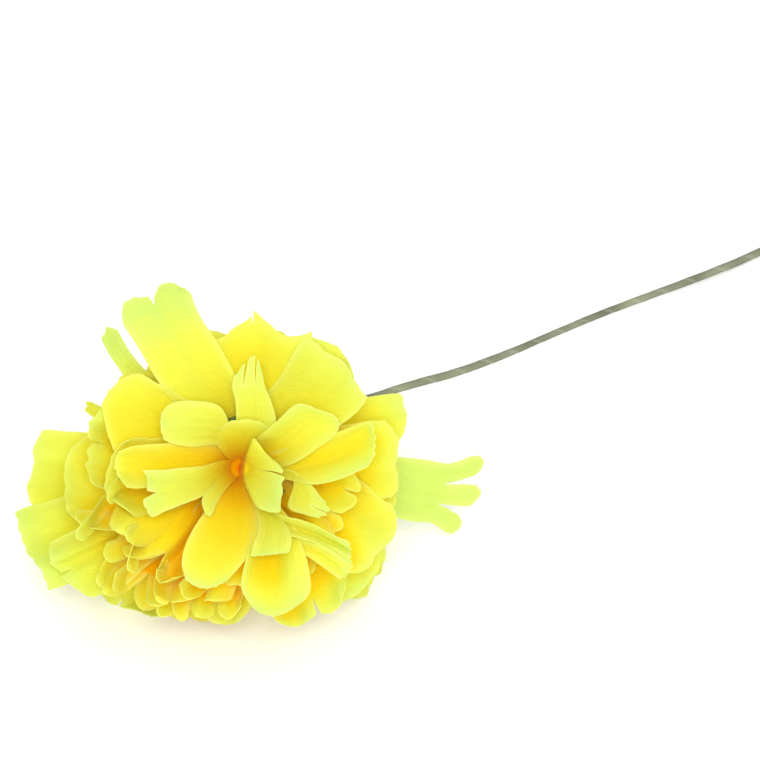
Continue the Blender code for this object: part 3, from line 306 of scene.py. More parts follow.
# Front petals, one by one: settings, then rows from the gather to the free edge, each a few points
# across as (x, y, how far it stands off the front layer's plain surface)
FRONT_PETALS = (
    (  # cover
        dict(fingers=1, slit=0, gap=0, crinkle=0.15, pale=0.06),
        ((-2.6, 2.2, 0.6), (-0.6, 3.4, 0.9), (1.2, 3.4, 0.9), (2.6, 2.4, 0.6)),
        ((-4.2, 4.2, 0.6), (-1.8, 5.8, 1.1), (1.6, 6.2, 1.1), (5, 4.6, 0.6)),
        ((-5, 6, 0.2), (-2.4, 8.1, 0.7), (2.4, 8.6, 0.8), (6.6, 6.6, 0.2)),
    ),
    (  # channel
        dict(fingers=1, slit=0, gap=0, crinkle=0.15, pale=0, glow=10.5),
        ((-4.2, 3.9, 0), (-5.4, 2, 0), (-5.8, 0.2, 0), (-5.6, -1.2, 0)),
        ((-9, 4.8, 0), (-9.6, 2.2, -0.8), (-9.8, 0, -0.8), (-9.4, -2, 0)),
        ((-13.4, 4.4, -1.2), (-13.8, 2, -1.8), (-13.8, -0.4, -1.8), (-13.2, -2.9, -1.2)),
        ((-18.8, 3.9, -1.2), (-19.3, 2, -2), (-19.3, -0.4, -2), (-17.9, -3.6, -1)),
        ((-21.6, 2.9, -0.4), (-22.3, 1.4, -0.8), (-22.1, -0.7, -0.8), (-20.3, -3.4, 0)),
    ),
    (  # upper
        dict(fingers=3, slit=0.3, gap=0.3, crinkle=0.1, pale=0.12),
        ((-0.8, 5.2, 0.2), (0.4, 5.2, 0), (2.6, 5.2, 0), (5.3, 5.2, 0.2)),
        ((-0.7, 8.3, 0.2), (1, 8.7, 0), (3.3, 8.7, 0), (6.4, 8.3, 0.2)),
        ((-0.8, 11.8, 0.3), (0.8, 12.2, 0.2), (3.3, 12.2, 0.2), (5.7, 11.4, 0.3)),
        ((-1.5, 14.5, 0.8), (0.7, 15.7, 0.6), (2.8, 16.4, 0.6), (4.6, 14.1, 0.8)),
        ((-1.5, 15.6, 1.2), (1.2, 19, 1), (2.9, 19.9, 1), (4.1, 16.1, 1.2)),
    ),
    (  # rolled
        dict(fingers=1, slit=0, gap=0, crinkle=0.1, pale=0.02),
        ((3, 5.2, 2.5), (4.3, 3.3, 0.3), (5.7, 1.7, 0), (7, 0, 0.5)),
        ((6.6, 8.3, 3.5), (8.2, 6, 0.3), (9.5, 3.7, 0), (10.5, 1.3, 0.8)),
        ((10.3, 11.4, 3.5), (11.7, 8.5, 0.6), (12.8, 6, 0.2), (14, 3.7, 0.8)),
        ((14.2, 10.3, 2), (15.2, 8.9, 1), (15.9, 7.2, 0.6), (16.2, 5.2, 0.8)),
        ((16.5, 9.6, 1), (17.4, 8.7, 1), (17.7, 7.7, 0.8), (17.4, 6.6, 0.8)),
    ),
    (  # trough
        dict(fingers=1, slit=0, gap=0, crinkle=0.1, pale=0, glow=7, painted_relief_shade=0.07),
        ((5.7, 2.9, 0.2), (6.1, 1.2, 0), (6.8, -0.4, 0), (7.2, -1, 0), (7.4, -1.9, 0.5)),
        ((11.5, 4.3, -0.3), (12.1, 2.3, -1.5), (12.6, 0.4, -1.5), (12.8, -1, 0), (12.8, -2.9, 1.5)),
        ((17.3, 6.3, 0), (17.7, 4.3, -2.4), (18.1, 2.1, -2.4), (17.9, 0.4, 0), (17.3, -2.1, 2.5)),
        ((21.9, 7.9, 0.3), (21.9, 6.4, -2), (21.9, 4.1, -2), (21.7, 1.9, 0), (21, -0.6, 2.5)),
        ((23.2, 8.2, 0.6), (23.9, 6.4, 0.6), (24.1, 4.1, 0.6), (23.8, 1.9, 1), (22.7, 0.2, 2)),
    ),
    (  # scalloped
        dict(fingers=3, slit=0.2, gap=0.12, crinkle=0.25, pale=0.04),
        ((5.4, 0.2, 0.1), (5.6, -0.2, 0), (5.8, -0.6, 0.1)),
        ((8.9, -0.2, 0.4), (9.4, -1.2, 0.3), (9.6, -2.4, 0.4)),
        ((11.0, -1.6, 0.6), (10.9, -4.0, 0.5), (8.6, -6.9, 0.6)),
        ((12.3, -2.5, 0.8), (12.6, -5.6, 0.8), (11.5, -8.3, 1)),
        ((13.6, -4.1, 1.4), (15.9, -7.4, 1.4), (14, -9, 1.4)),
    ),
    (  # ruffle
        dict(fingers=1, slit=0, gap=0, crinkle=0.5, pale=-0.02),
        ((4.1, -6, 0.5), (3.9, -6.8, 0), (3.7, -7.7, 0)),
        ((7.6, -8.4, 2.2), (7.2, -9.7, 0), (7.4, -11.4, 1)),
        ((10.7, -9.2, 2.5), (10.5, -11, -0.5), (10.1, -12.4, 1.5)),
        ((13.6, -10.3, 2.6), (13.6, -12, -0.5), (13.4, -13.4, 1.6)),
        ((16.5, -11.9, 2.2), (16.7, -13.4, -0.3), (16.7, -15.3, 1.4)),
        ((19.5, -13.1, 1.6), (19.7, -15.1, 0.5), (19.8, -17.2, 1)),
    ),
    (  # under
        dict(fingers=2, slit=0.12, gap=0.1, crinkle=0.3, pale=-0.05),
        ((5.3, -9.9, 0.1), (4.5, -10.3, 0.1), (3.7, -10.7, 0.1)),
        ((10.7, -12.6, 0.2), (10.3, -13.4, -0.8), (9.5, -14.1, -0.8)),
        ((14.6, -14.1, 0.8), (14, -15.1, -1), (12.6, -16.1, -1)),
        ((17.3, -15.8, 1), (16.7, -16.8, -0.6), (15.3, -18, -0.8)),
        ((20.1, -17.3, 1), (19.2, -18.9, 0.2), (17.7, -19.9, 0)),
    ),
    (  # boxy
        dict(fingers=1, slit=0, gap=0, crinkle=0.15, pale=-0.05, glow=7.5, painted_relief_shade=0.08, tip=0.24),
        ((1.8, -9.1, 0), (3.3, -9.1, 0), (5.3, -9.1, 0), (7.2, -9.1, 0), (9.2, -9.5, 0)),
        ((1.5, -14.5, 0.8), (3.5, -14.5, -1.6), (6.1, -14.5, -1.8), (8.8, -14.1, 0.5), (11.5, -14.9, 0)),
        ((0.6, -18.4, 2.2), (3, -18.6, -1.8), (6.1, -18.9, -2.2), (9.2, -18.2, 1.8), (12.3, -18.2, 1.2)),
        ((0.3, -21.5, 2.6), (2.8, -22.1, 0.6), (6.1, -22.3, -0.2), (9.3, -21.7, 1.8), (12.6, -21.3, 2)),
        ((1.8, -24.3, 2.2), (3.7, -25, 1.8), (6.3, -25.2, 1.5), (9.2, -24.4, 2), (11.9, -23.1, 2.2)),
        ((3.3, -25.7, 1.4), (4.9, -26.3, 1.2), (6.5, -26.4, 1.2), (8.6, -25.6, 1.4), (10.4, -24.4, 1.4)),
    ),
    (  # flap
        dict(fingers=1, slit=0, gap=0, crinkle=0.2, pale=-0.02),
        ((2.4, -5.6, 0.4), (4.1, -6.4, 0.8), (5.9, -7.2, 0.4)),
        ((3.3, -10.7, 1), (6.1, -10.8, 1.6), (8.8, -11, 1)),
        ((2.4, -13.6, 1.6), (5.7, -13.6, 2.2), (9.2, -13.4, 1.6)),
        ((1.8, -15.8, 2), (5.3, -15.5, 2.4), (8.8, -15.1, 2)),
    ),
    (  # tongue
        dict(fingers=1, slit=0, gap=0, crinkle=0.3, pale=0, glow=11, tip=0.3),
        ((-3, -3.2, 0.3), (-1.6, -3.5, 0), (-0.1, -3.7, 0), (1, -3.8, 0), (2, -3.4, 0.3)),
        ((-5.7, -7, 0.4), (-3.4, -7.7, 0), (-1.3, -8.1, -0.2), (0.7, -8.1, 0), (3, -7.6, 0.4)),
        ((-8, -10.3, 0.8), (-5.6, -11.1, -0.2), (-2.8, -12, -0.4), (0.1, -12.4, -0.2), (3.3, -12, 0.4)),
        ((-9.7, -13.7, 1.2), (-7.1, -14.8, 0), (-4.4, -15.8, -0.3), (-1.5, -16.1, 0), (1.8, -15.1, 0.6)),
        ((-10.4, -17, 1.4), (-8.1, -18.2, 0.6), (-5.6, -18.9, 0.3), (-3, -18.7, 0.5), (-0.3, -17.9, 1)),
        ((-9.7, -19.9, 1), (-8.1, -21, 0.8), (-6.3, -21.5, 0.8), (-4.2, -21.1, 0.8), (-2.2, -20, 1)),
    ),
    (  # finger
        dict(fingers=1, slit=0, gap=0, crinkle=0.1, pale=0.1),
        ((-3.1, -1, 0.8), (-2, -1.6, 1), (-0.9, -2.1, 0.8)),
        ((-6.1, -4.4, 1.4), (-4.7, -4.8, 1.8), (-2.8, -4.1, 1.3)),
        ((-6.8, -6, 1.6), (-5.6, -6.7, 1.9), (-4.2, -6.3, 1.6)),
        ((-6.1, -8.3, 1.5), (-5.5, -8.6, 1.5), (-5, -8.3, 1.5)),
    ),
    (  # left_flap
        dict(fingers=2, slit=0.16, gap=0.25, crinkle=0.25, pale=0.1),
        ((-2.8, 1.4, 1.2), (-2.9, 0.4, 1), (-2.9, -0.8, 0.8), (-2.8, -2, 0.6)),
        ((-6.7, 0.4, 2), (-6.8, -1.4, 1.6), (-6.8, -3.2, 1.2), (-6.6, -5, 1)),
        ((-11, 0, 2.2), (-11.1, -2.3, 1.6), (-11.1, -4.6, 1.2), (-11.1, -6.8, 1)),
        ((-14.5, -0.4, 2), (-14.4, -2.9, 1.4), (-14.4, -5.6, 1), (-14.1, -8.1, 0.8)),
        ((-17.4, 0.2, 1.6), (-16.5, -3, 1.2), (-17.1, -6.6, 0.8), (-15.4, -9.3, 0.6)),
    ),
    (  # oval
        dict(fingers=1, slit=0, gap=0, crinkle=0.15, pale=0.1),
        ((-1.6, 7.2, 0), (-1.9, 5.8, 0.2), (-2.1, 4.3, 0.3), (-1.9, 2.9, 0.2)),
        ((-3.8, 11.1, 0.3), (-4.4, 8.7, 0.7), (-4.8, 6.2, 0.8), (-4.6, 4.1, 0.6)),
        ((-8.7, 12, 0.3), (-8.7, 9.1, 0.9), (-8.7, 6.4, 1), (-8.7, 3.8, 0.9)),
        ((-12.3, 11.5, 0.2), (-12.3, 9.1, 0.7), (-12.3, 6.8, 0.8), (-12.1, 4.4, 0.7)),
        ((-14, 9.9, 0), (-14.2, 8.4, 0.3), (-14.1, 6.8, 0.3), (-13.6, 5.1, 0.3)),
    ),
    (  # upright
        dict(fingers=2, slit=0.33, gap=0.1, crinkle=0.15, pale=0.06),
        ((1.5, 3.3, 3), (0.9, 1, 4), (0.7, -1.4, 4), (1.4, -4.1, 3)),
        ((2.3, 5.2, 5), (1.2, 1.4, 6.5), (0.9, -1.9, 6.5), (2.9, -6.8, 5)),
        ((3, 4.8, 5.5), (2.8, 1, 7), (2.6, -2.1, 7), (4.6, -7.7, 5.5)),
        ((3.7, 3.9, 5), (5.3, 0.8, 6.5), (5.3, -2.3, 6.5), (6.1, -8.1, 5.2)),
        ((4.1, 2.9, 4.5), (7.4, 0, 5.5), (7.6, -2.9, 5.5), (7.1, -8.3, 4.8)),
    ),
)


def head_axes():
    """Right, up and out of the face, as the head's face is seen, in the table's frame."""
    tilt, turn = math.radians(FACE_TILT), math.radians(FACE_TURN)
    right = Vector((math.cos(turn), -math.sin(turn), 0.0))
    back = Vector((math.sin(turn), math.cos(turn), 0.0))
    up = Vector((0.0, 0.0, 1.0))
    face = up * math.sin(tilt) - back * math.cos(tilt)
    rise = up * math.cos(tilt) + back * math.sin(tilt)
    return right, rise, face


# The gather's place, how the head is turned, and both with the step from millimetres to metres
GATHER = Vector((GATHER_X, GATHER_Y, GATHER_HEIGHT)) * MM
TURNED = Matrix(head_axes()).transposed().to_4x4()
HEAD = Matrix.Translation(GATHER) @ TURNED @ Matrix.Scale(MM, 4)


def to_table(points):
    """Takes points from the head's frame, in millimetres, to the table's frame, in metres."""
    world = np.array(HEAD)
    return points @ world[:3, :3].T + world[:3, 3]


def hub_depth(layer):
    """How high a layer's hub is in the head's frame: all but the front one are behind the star."""
    back = LAYERS - layer
    return -(HUB_STEP * back + STAR_ROOM * (back > 0))


def hub_radius(layer):
    """The radius of a layer's hub, where its petals begin."""
    return HUB_RADIUS + HUB_RADIUS_STEP * (LAYERS - layer)


def side_lean(theta):
    """How much less a petal bends back, by where it points: most at the table."""
    lower_left = np.exp(-(((np.degrees(theta) % 360 - LOWER_LEFT) / LOWER_LEFT_WIDTH) ** 2))
    round_about = UNBENT - UNBENT_DOWN * np.sin(theta) + UNBENT_RIGHT * np.cos(theta)
    return round_about + UNBENT_LOWER_LEFT * lower_left


def arc(layer, theta, more_lean=0.0):
    """A petal's lean at the root and its bend per millimetre, both in radians."""
    back = LAYERS - layer
    bend = FRONT_BEND - BEND_STEP * back - side_lean(theta)
    return math.radians(LEANS[back] + more_lean), np.radians(bend) / BEND_LENGTH


def spine(layer, theta, along, more_lean):
    """(distance from the axis, height out of the face, angle from the axis) along a petal."""
    lean, bend = arc(layer, theta, more_lean)
    angle = lean + bend * along
    out = hub_radius(layer) + (math.cos(lean) - np.cos(angle)) / bend
    height = hub_depth(layer) + (np.sin(angle) - math.sin(lean)) / bend
    return out, height, angle


def petal_length(layer, theta, reach, more_lean):
    """The cloth length of a petal that reaches this far from the axis."""
    lean, bend = arc(layer, theta, more_lean)
    end = math.cos(lean) - bend * (reach - hub_radius(layer))
    return (math.acos(max(end, -0.95)) - lean) / bend


def room(along, layer):
    """How far a petal may stand off its layer, back and forward, before it meets the next one."""
    along = np.maximum(along, 0)
    start, more, soon = ROOM
    back = ahead = start + more * (1 - np.exp(-along / soon))
    if layer == LAYERS - 1:
        start, slope = STAR_GAP
        ahead = np.minimum(start + slope * along, back)
    return back, ahead


def grid(fingers, slit_row, columns):
    """The petal's points as (row from 0 to 1, finger, place across the finger from -1 to 1), and
    its faces. Fingers share their border up to slit_row and are apart beyond it."""
    points, faces, index = [], [], {}
    for finger in range(fingers):
        for row in range(ROWS + 1):
            for column in range(columns + 1):
                if column == 0 and finger and row <= slit_row:
                    index[finger, row, 0] = index[finger - 1, row, columns]
                    continue
                index[finger, row, column] = len(points)
                points.append((row / ROWS, finger, 2 * column / columns - 1))
        for row in range(ROWS):
            for column in range(columns):
                corners = ((row, column), (row, column + 1), (row + 1, column + 1), (row + 1, column))
                faces.append([index[finger, *corner] for corner in corners])
    return np.array(points), faces


def across_petal(s, finger, c, fingers, slit_row, gap):
    """How far each point is past the root of the slits, from 0 to 1, and its place across the whole
    petal, from -1 to 1."""
    past = np.clip((s - slit_row / ROWS) / max(1 - slit_row / ROWS, 1e-6), 0, 1)
    return past, (2 * finger + 1 + c * (1 - gap * past)) / fingers - 1


def rim_shade(a, c, past, fingers, width, to_end, out):
    """How near a cut edge the cloth is: 1 at the edge, less inwards, and nothing at the gather."""
    inside = np.where(fingers * past > 0, (1 - np.abs(c)) * width / fingers, (1 - np.abs(a)) * width)
    return np.exp(-np.minimum(inside, to_end) / RIM_WIDTH) * np.clip(out / 5 - 0.6, 0, 1)


def shared_warp(points):
    """A slow unevenness and the pleats of the whole head, the same for all layers so that none
    meets the next."""
    x, y, z = points.T
    dx = 1.2 * np.sin(y / 9 + 1.0) + 0.6 * np.sin(z / 7)
    dy = 1.0 * np.sin(x / 8 + 0.5) + 0.5 * np.sin(z / 6 + 2.0)
    dz = 1.5 * np.sin(x / 10 + y / 12 + 2.0)
    radius = np.maximum(np.hypot(x, y), 1e-6)
    around = np.arctan2(y, x)
    fade = np.clip(radius / 12 - 0.3, 0, 1)
    grown = np.clip((radius - PLEAT_START) / PLEAT_GROWTH, 0, 1.2)
    side = 0.3 + 0.7 * (0.5 - 0.5 * np.cos(around - math.radians(PLEAT_WEAK)))
    large = np.sin(LARGE_PLEATS * around + 0.07 * z + 1.3 * np.sin(2 * around))
    small = 0.45 * np.sin(SMALL_PLEATS * around - 0.09 * z + 1)
    pleat = PLEAT * (large + small) * grown * side
    dx = dx * fade - 0.35 * pleat * x / radius
    dy = dy * fade - 0.35 * pleat * y / radius
    return points + np.stack([dx, dy, dz * fade + 0.9 * pleat], 1)


def waver(draw, count, low, high):
    """A smooth random curve: a sum of sines whose frequencies lie between low and high."""
    parts = [(draw.uniform(low, high), draw.uniform(0, 2 * math.pi)) for _ in range(count)]
    return lambda x: sum(np.sin(f * x + p) for f, p in parts) / math.sqrt(count)


def petal_points(layer, petal, draw):
    """(points in the head's frame, faces, tone, rim) of one petal's middle surface."""
    aim, reach, half_width, end, own = petal
    fingers, slit, rounding, corner, gap, splay = ENDS[end]
    theta, more_lean = math.radians(aim), own.get("lean", 0.0)
    length = petal_length(layer, theta, reach, more_lean)
    slit_row = ROWS if slit == 0 else round(ROWS * (1 - slit / length))
    spots, faces = grid(fingers, slit_row, max(2, round(ACROSS / fingers)))
    s, finger, c = spots.T
    finger = finger.astype(int)
    past, a = across_petal(s, finger, c, fingers, slit_row, gap)

    # The draws, which the source makes in the same order, and finer ones for this mesh alone
    uneven = np.array([draw.uniform(-UNEVEN, UNEVEN) for _ in range(fingers)])
    tilt = np.array([draw.uniform(-FINGER_TILT, FINGER_TILT) for _ in range(fingers)])
    drawn = {name: draw.uniform(*limits) for name, limits in DRAWN.items()}
    look = {**PLAIN, **drawn, **own}
    ruffle, phase = look["ruffle"], look["phase"]
    fine = random.Random(round(aim * 10) + FINE_SEED_STEP * layer)
    fray, chips = waver(fine, 4, 9, 22), waver(fine, 5, 30, 70)
    folds, wrinkles = waver(fine, 3, 5, 10), waver(fine, 4, 1.2, 2.8)
    lengthwise, spread = waver(fine, 3, 0.25, 0.6), waver(fine, 3, 2, 6)

    # The cut: what the end lacks of the petal's full length, and the width
    drop = corner * np.abs(a) ** 3 + rounding * c**2
    drop = drop + 0.45 * np.sin(5.0 * a + phase) - uneven[finger] * (fingers > 1)
    drop = drop + look["slant"] * a
    drop = drop + (0.13 * fray(a) + 0.04 * chips(a)) * min(half_width / 6, 1)
    along = length * s - drop * np.clip((s - END_START) / (1 - END_START), 0, 1) ** 2 - ROOT * (s == 0)
    out = spine(layer, theta, along, more_lean)[0]
    swell = np.sin(np.clip(s / WIDEST, 0, 1) * math.pi / 2)
    width = half_width * (ROOT_WIDTH + (1 - ROOT_WIDTH) * swell)
    width = width * (1 + 0.03 * spread(4 * s) * (s < 0.97)) * (1 + splay * past)

    # Where the cloth is round the axis
    turn = np.tanh(a * width / np.maximum(out, 2.0) / 1.1) * 1.1
    around = theta + turn + math.radians(look["sweep"]) * s**2
    around = around + np.radians(look["swing"] * uneven[finger]) * past
    out, height, angle = spine(layer, around, along, more_lean)

    # How far it stands off its layer: what the neighbours leave room for, then its lip and creases
    stand = (
        look["cup"] * a**2 * np.sqrt(s)
        + look["twist"] * a * s
        + ruffle * s**1.5 * np.sin(look["waves"] * math.pi * a + phase)
        + 0.4 * ruffle * s * np.sin(along / 3.4 + phase)
        + tilt[finger] * past
    )
    behind, ahead = room(along, layer)
    most = np.where(stand < 0, behind, ahead)
    stand = most * np.tanh(stand / most)
    stand = stand + look["curl"] * np.clip((along - length + LIP) / LIP, 0, 1) ** 2
    stand = stand + look["loose"] * tilt[finger] * past
    stand = stand + look["crinkle"] * 0.75 * s**2 * folds(a) * (0.6 + 0.4 * lengthwise(along))
    stand = stand + 0.1 * (s > 0.05) * np.sin(math.pi * s) * folds(2.3 * a + 1)
    stand = stand + 0.05 * np.clip(s * 3, 0, 1) * wrinkles(along + 3 * a * width)
    out = out - stand * np.cos(angle)
    height = height + stand * np.sin(angle)
    points = shared_warp(np.stack([out * np.cos(around), out * np.sin(around), height], 1))

    # The dye: orange at the gather, yellow, and lime from a distance that is greater at the left
    spot = np.linalg.norm(points - (0, 0, hub_depth(layer)), axis=1)
    brink = LIME_START + LIME_LEFT * np.maximum(-np.cos(around), 0) ** 1.5
    lime = np.clip((out / brink - 0.6) / 0.65, 0, 1)
    # Painted light and shade from the bulge term: cloth that stands off is paler and sunken cloth more
    # golden. A negative pale, as the lower petals have, is painted shade.
    tone = 0.7 * (1 - np.exp(-spot / HEART)) + 0.3 * lime * lime * (3 - 2 * lime) + PAINTED_RELIEF_SHADE * stand * s
    tone = tone + look["pale"] * (1 - np.exp(-np.maximum(along, 0) / 3))
    return points, faces, tone, rim_shade(a, c, past, fingers, width, (1 - s) * length, out)


def blend_weights(place, count):
    """Smooth weights of a row of control points at places from 0 to count - 1."""
    index = np.clip(np.floor(place).astype(int), 0, count - 2)
    t = place - index
    weights = np.zeros((len(place), count + 2))
    parts = (
        (-t + 2 * t**2 - t**3) / 2,
        (2 - 5 * t**2 + 3 * t**3) / 2,
        (t + 4 * t**2 - 3 * t**3) / 2,
        (-(t**2) + t**3) / 2,
    )
    for step, part in enumerate(parts):
        weights[np.arange(len(place)), index + step] += part
    first, last = weights[:, 0], weights[:, -1]
    inner = weights[:, 1:-1]
    inner[:, 0] += 2 * first
    inner[:, 1] -= first
    inner[:, -1] += 2 * last
    inner[:, -2] -= last
    return inner


def front_height(x, y):
    """How far the front layer's plain surface stands out of the face."""
    lean, bend = arc(LAYERS, np.arctan2(y, x))
    hub = hub_radius(LAYERS)
    out = np.maximum(np.hypot(x, y), hub)
    angle = np.arccos(np.clip(math.cos(lean) - bend * (out - hub), -0.95, 1))
    return hub_depth(LAYERS) + (np.sin(angle) - math.sin(lean)) / bend


def with_root(rows):
    """A front petal's rows with one more at its root, across the gather."""
    middle = rows[0].mean(axis=0)[:2]
    ahead = middle / np.linalg.norm(middle)
    side = np.array([-ahead[1], ahead[0]])
    turned = np.sign((rows[0, 0, :2] - middle) @ side)
    spread = np.linspace(1, -1, rows.shape[1]) * turned * FRONT_ROOT
    root = np.zeros_like(rows[0])
    root[:, :2] = side * spread[:, None] - 0.2 * ahead
    return np.concatenate([root[None], rows])


def front_petal_points(number):
    """(points in the head's frame, faces, tone, rim) of one front petal's middle surface."""
    own, *control = FRONT_PETALS[number]
    look = {**FRONT_PLAIN, **own}
    control = with_root(np.array(control))
    fingers = look["fingers"]
    slit_row = ROWS if fingers == 1 else round(ROWS * (1 - look["slit"]))
    spots, faces = grid(fingers, slit_row, max(4, round(ACROSS / fingers)))
    s, finger, c = spots.T
    past, a = across_petal(s, finger, c, fingers, slit_row, look["gap"])
    fine = random.Random(FRONT_FINE_SEED + number)
    fray, chips, folds = waver(fine, 4, 9, 22), waver(fine, 5, 30, 70), waver(fine, 3, 5, 10)
    wrinkles = waver(fine, 4, 8, 20)

    # The cloth between the table's points, with a frayed end and creases
    edge = s - (0.012 * fray(a) + 0.004 * chips(a)) * np.clip((s - 0.7) / 0.3, 0, 1)
    by_row = blend_weights(edge * (len(control) - 1), len(control))
    by_column = blend_weights((a + 1) / 2 * (control.shape[1] - 1), control.shape[1])
    x, y, stand = np.einsum("ir,ic,rcd->di", by_row, by_column, control)
    stand = stand + look["crinkle"] * s**2 * folds(a) + 0.05 * np.sin(math.pi * s) * folds(3 * a + 1)
    stand = stand + 0.04 * s * wrinkles(s + 0.3 * a)

    # The points are given as seen from the eye, so the nearer ones are moved in towards its line
    height = shared_warp(np.stack([x, y, front_height(x, y) + stand], 1))[:, 2]
    nearer = height / EYE[2]
    points = np.stack([x + (EYE[0] - x) * nearer, y + (EYE[1] - y) * nearer, height], 1)

    # The dye: orange at the gather and paler at the end; then painted light and shade, paler where the
    # cloth stands off and more golden where it sinks
    spot = np.hypot(x, y)
    tone = 0.8 * (1 - np.exp(-spot / look["glow"])) + look["tip"] * s**6
    tone = tone + look["pale"] * (1 - np.exp(-spot / 3)) * (1 - 0.6 * s**6)
    tone = tone + look["painted_relief_shade"] * stand
    width = np.linalg.norm(control[:, 0, :2] - control[:, -1, :2], axis=1).max() / 2
    return points, faces, tone, rim_shade(a, c, past, fingers, width, (1 - s) * spot.max(), spot)


def rest_on_table(points, layer):
    """Presses the points of a layer that would go through the table flat above it."""
    floor = (SOLID_CLOTH / 2 + (layer - 1) * (SOLID_CLOTH + GAP)) * MM
    soft = PRESS * MM
    points = points.copy()
    points[:, 2] = floor + soft * np.logaddexp(0, (points[:, 2] - floor) / soft)
    return points


class Nodes:
    """A short way to add and link shader nodes."""

    def __init__(self, name):
        self.material = bpy.data.materials.new(name)
        self.material.use_nodes = True
        self.tree = self.material.node_tree
        self.shader = self.tree.nodes["Principled BSDF"]
        self.out = self.tree.nodes["Material Output"]

    def add(self, kind, **values):
        node = self.tree.nodes.new(kind)
        for name, value in values.items():
            setattr(node, name, value)
        return node

    def link(self, source, target):
        self.tree.links.new(source, target)

    def set(self, name, value):
        self.shader.inputs[name].default_value = value

    def place(self):
        return self.add("ShaderNodeTexCoord").outputs["Object"]

    def stored(self, name):
        """The value of a mesh attribute."""
        return self.add("ShaderNodeAttribute", attribute_name=name).outputs["Fac"]

    def ramp(self, source, *stops):
        ramp = self.add("ShaderNodeValToRGB")
        band = ramp.color_ramp
        while len(band.elements) < len(stops):
            band.elements.new(1.0)
        for element, (place, colour) in zip(band.elements, stops):
            element.position = place
            element.color = (*colour, 1.0)
        self.link(source, ramp.inputs["Fac"])
        return ramp.outputs["Color"]

    def noise(self, where, scale, detail=2.0):
        noise = self.add("ShaderNodeTexNoise")
        noise.inputs["Scale"].default_value = scale
        noise.inputs["Detail"].default_value = detail
        self.link(where, noise.inputs["Vector"])
        return noise.outputs["Fac"]

    def math(self, operation, one, two):
        node = self.add("ShaderNodeMath", operation=operation)
        for socket, value in zip(node.inputs, (one, two)):
            if isinstance(value, (int, float)):
                socket.default_value = value
            else:
                self.link(value, socket)
        return node.outputs["Value"]

    def mix(self, amount, one, two):
        """A colour mix. Node inputs 0, 6 and 7 are its factor and its two colours."""
        node = self.add("ShaderNodeMix", data_type="RGBA")
        for number, value in zip((0, 6, 7), (amount, one, two)):
            if isinstance(value, tuple):
                node.inputs[number].default_value = (*value, 1.0)
            else:
                self.link(value, node.inputs[number])
        return node.outputs[2]

    def bump(self, height, distance, strength):
        bump = self.add("ShaderNodeBump")
        bump.inputs["Strength"].default_value = strength
        bump.inputs["Distance"].default_value = distance
        self.link(height, bump.inputs["Height"])
        self.link(bump.outputs["Normal"], self.shader.inputs["Normal"])
        return bump.outputs["Normal"]


def cloth_material():
    """Thin dyed cloth: orange at the heart, yellow, and lime ends, with light coming through. Its tone
    also carries painted shade in pockets and on the lower petals and painted light and shade by relief,
    and its pale cut edges are partly painted light.
    """
    n = Nodes("dyed_and_shaded_cloth")
    place = n.place()
    patches = n.math("MULTIPLY", n.math("SUBTRACT", n.noise(place, 160.0, 3.0), 0.5), 0.16)
    dye_and_shade = n.ramp(n.math("ADD", n.stored("tone"), patches), *DYES)
    # The pale cut edge mixed in here is partly the cloth's own colour and partly painted light.
    colour = n.mix(n.math("MULTIPLY", n.stored("rim"), 0.5), dye_and_shade, EDGE_DYE_AND_LIGHT)
    threads = n.add("ShaderNodeTexWave", wave_type="BANDS", bands_direction="DIAGONAL")
    threads.inputs["Scale"].default_value = 900.0
    n.link(place, threads.inputs["Vector"])
    weave = n.math("ADD", threads.outputs["Fac"], n.math("MULTIPLY", n.noise(place, 1400.0), 0.7))
    normal = n.bump(weave, 0.00004, 0.5)
    n.link(colour, n.shader.inputs["Base Color"])
    n.set("Roughness", 0.85)
    n.set("Specular IOR Level", 0.08)
    n.set("Sheen Weight", 0.05)
    n.set("Sheen Roughness", 0.5)
    through = n.add("ShaderNodeBsdfTranslucent")
    n.link(colour, through.inputs["Color"])
    n.link(normal, through.inputs["Normal"])
    both = n.add("ShaderNodeMixShader")
    both.inputs["Fac"].default_value = LIGHT_THROUGH
    n.link(n.shader.outputs["BSDF"], both.inputs[1])
    n.link(through.outputs["BSDF"], both.inputs[2])
    n.link(both.outputs["Shader"], n.out.inputs["Surface"])
    return n.material


def plastic_material():
    """Dark green moulded plastic, a little uneven in colour."""
    n = Nodes("green_plastic_look")
    place = n.place()
    green = n.ramp(n.noise(place, 300.0), (0.3, (0.03, 0.06, 0.015)), (0.7, (0.08, 0.13, 0.03)))
    n.link(green, n.shader.inputs["Base Color"])
    n.bump(n.noise(place, 1200.0), 0.00003, 0.4)
    n.set("Roughness", 0.42)
    return n.material


def tape_material():
    """Waxed crepe paper: grey green, lighter along the seams, with fine crimps."""
    n = Nodes("floral_tape_look")
    place = n.place()
    base = n.ramp(
        n.noise(place, 110.0, 3.0),
        (0.3, (0.12, 0.13, 0.08)),
        (0.52, (0.2, 0.215, 0.14)),
        (0.75, (0.28, 0.285, 0.17)),
    )
    colour = n.mix(n.math("MULTIPLY", n.stored("seam"), 0.5), base, (0.42, 0.44, 0.33))
    n.link(colour, n.shader.inputs["Base Color"])
    n.bump(n.noise(place, 1600.0, 3.0), 0.00006, 0.7)
    n.set("Roughness", 0.7)
    n.set("Specular IOR Level", 0.35)
    return n.material


def steel_material():
    """Drawn wire at its cut end."""
    n = Nodes("wire_look")
    grey = n.ramp(n.noise(n.place(), 900.0), (0.3, (0.3, 0.3, 0.29)), (0.7, (0.5, 0.5, 0.49)))
    n.link(grey, n.shader.inputs["Base Color"])
    n.set("Metallic", 1.0)
    n.set("Roughness", 0.38)
    return n.material


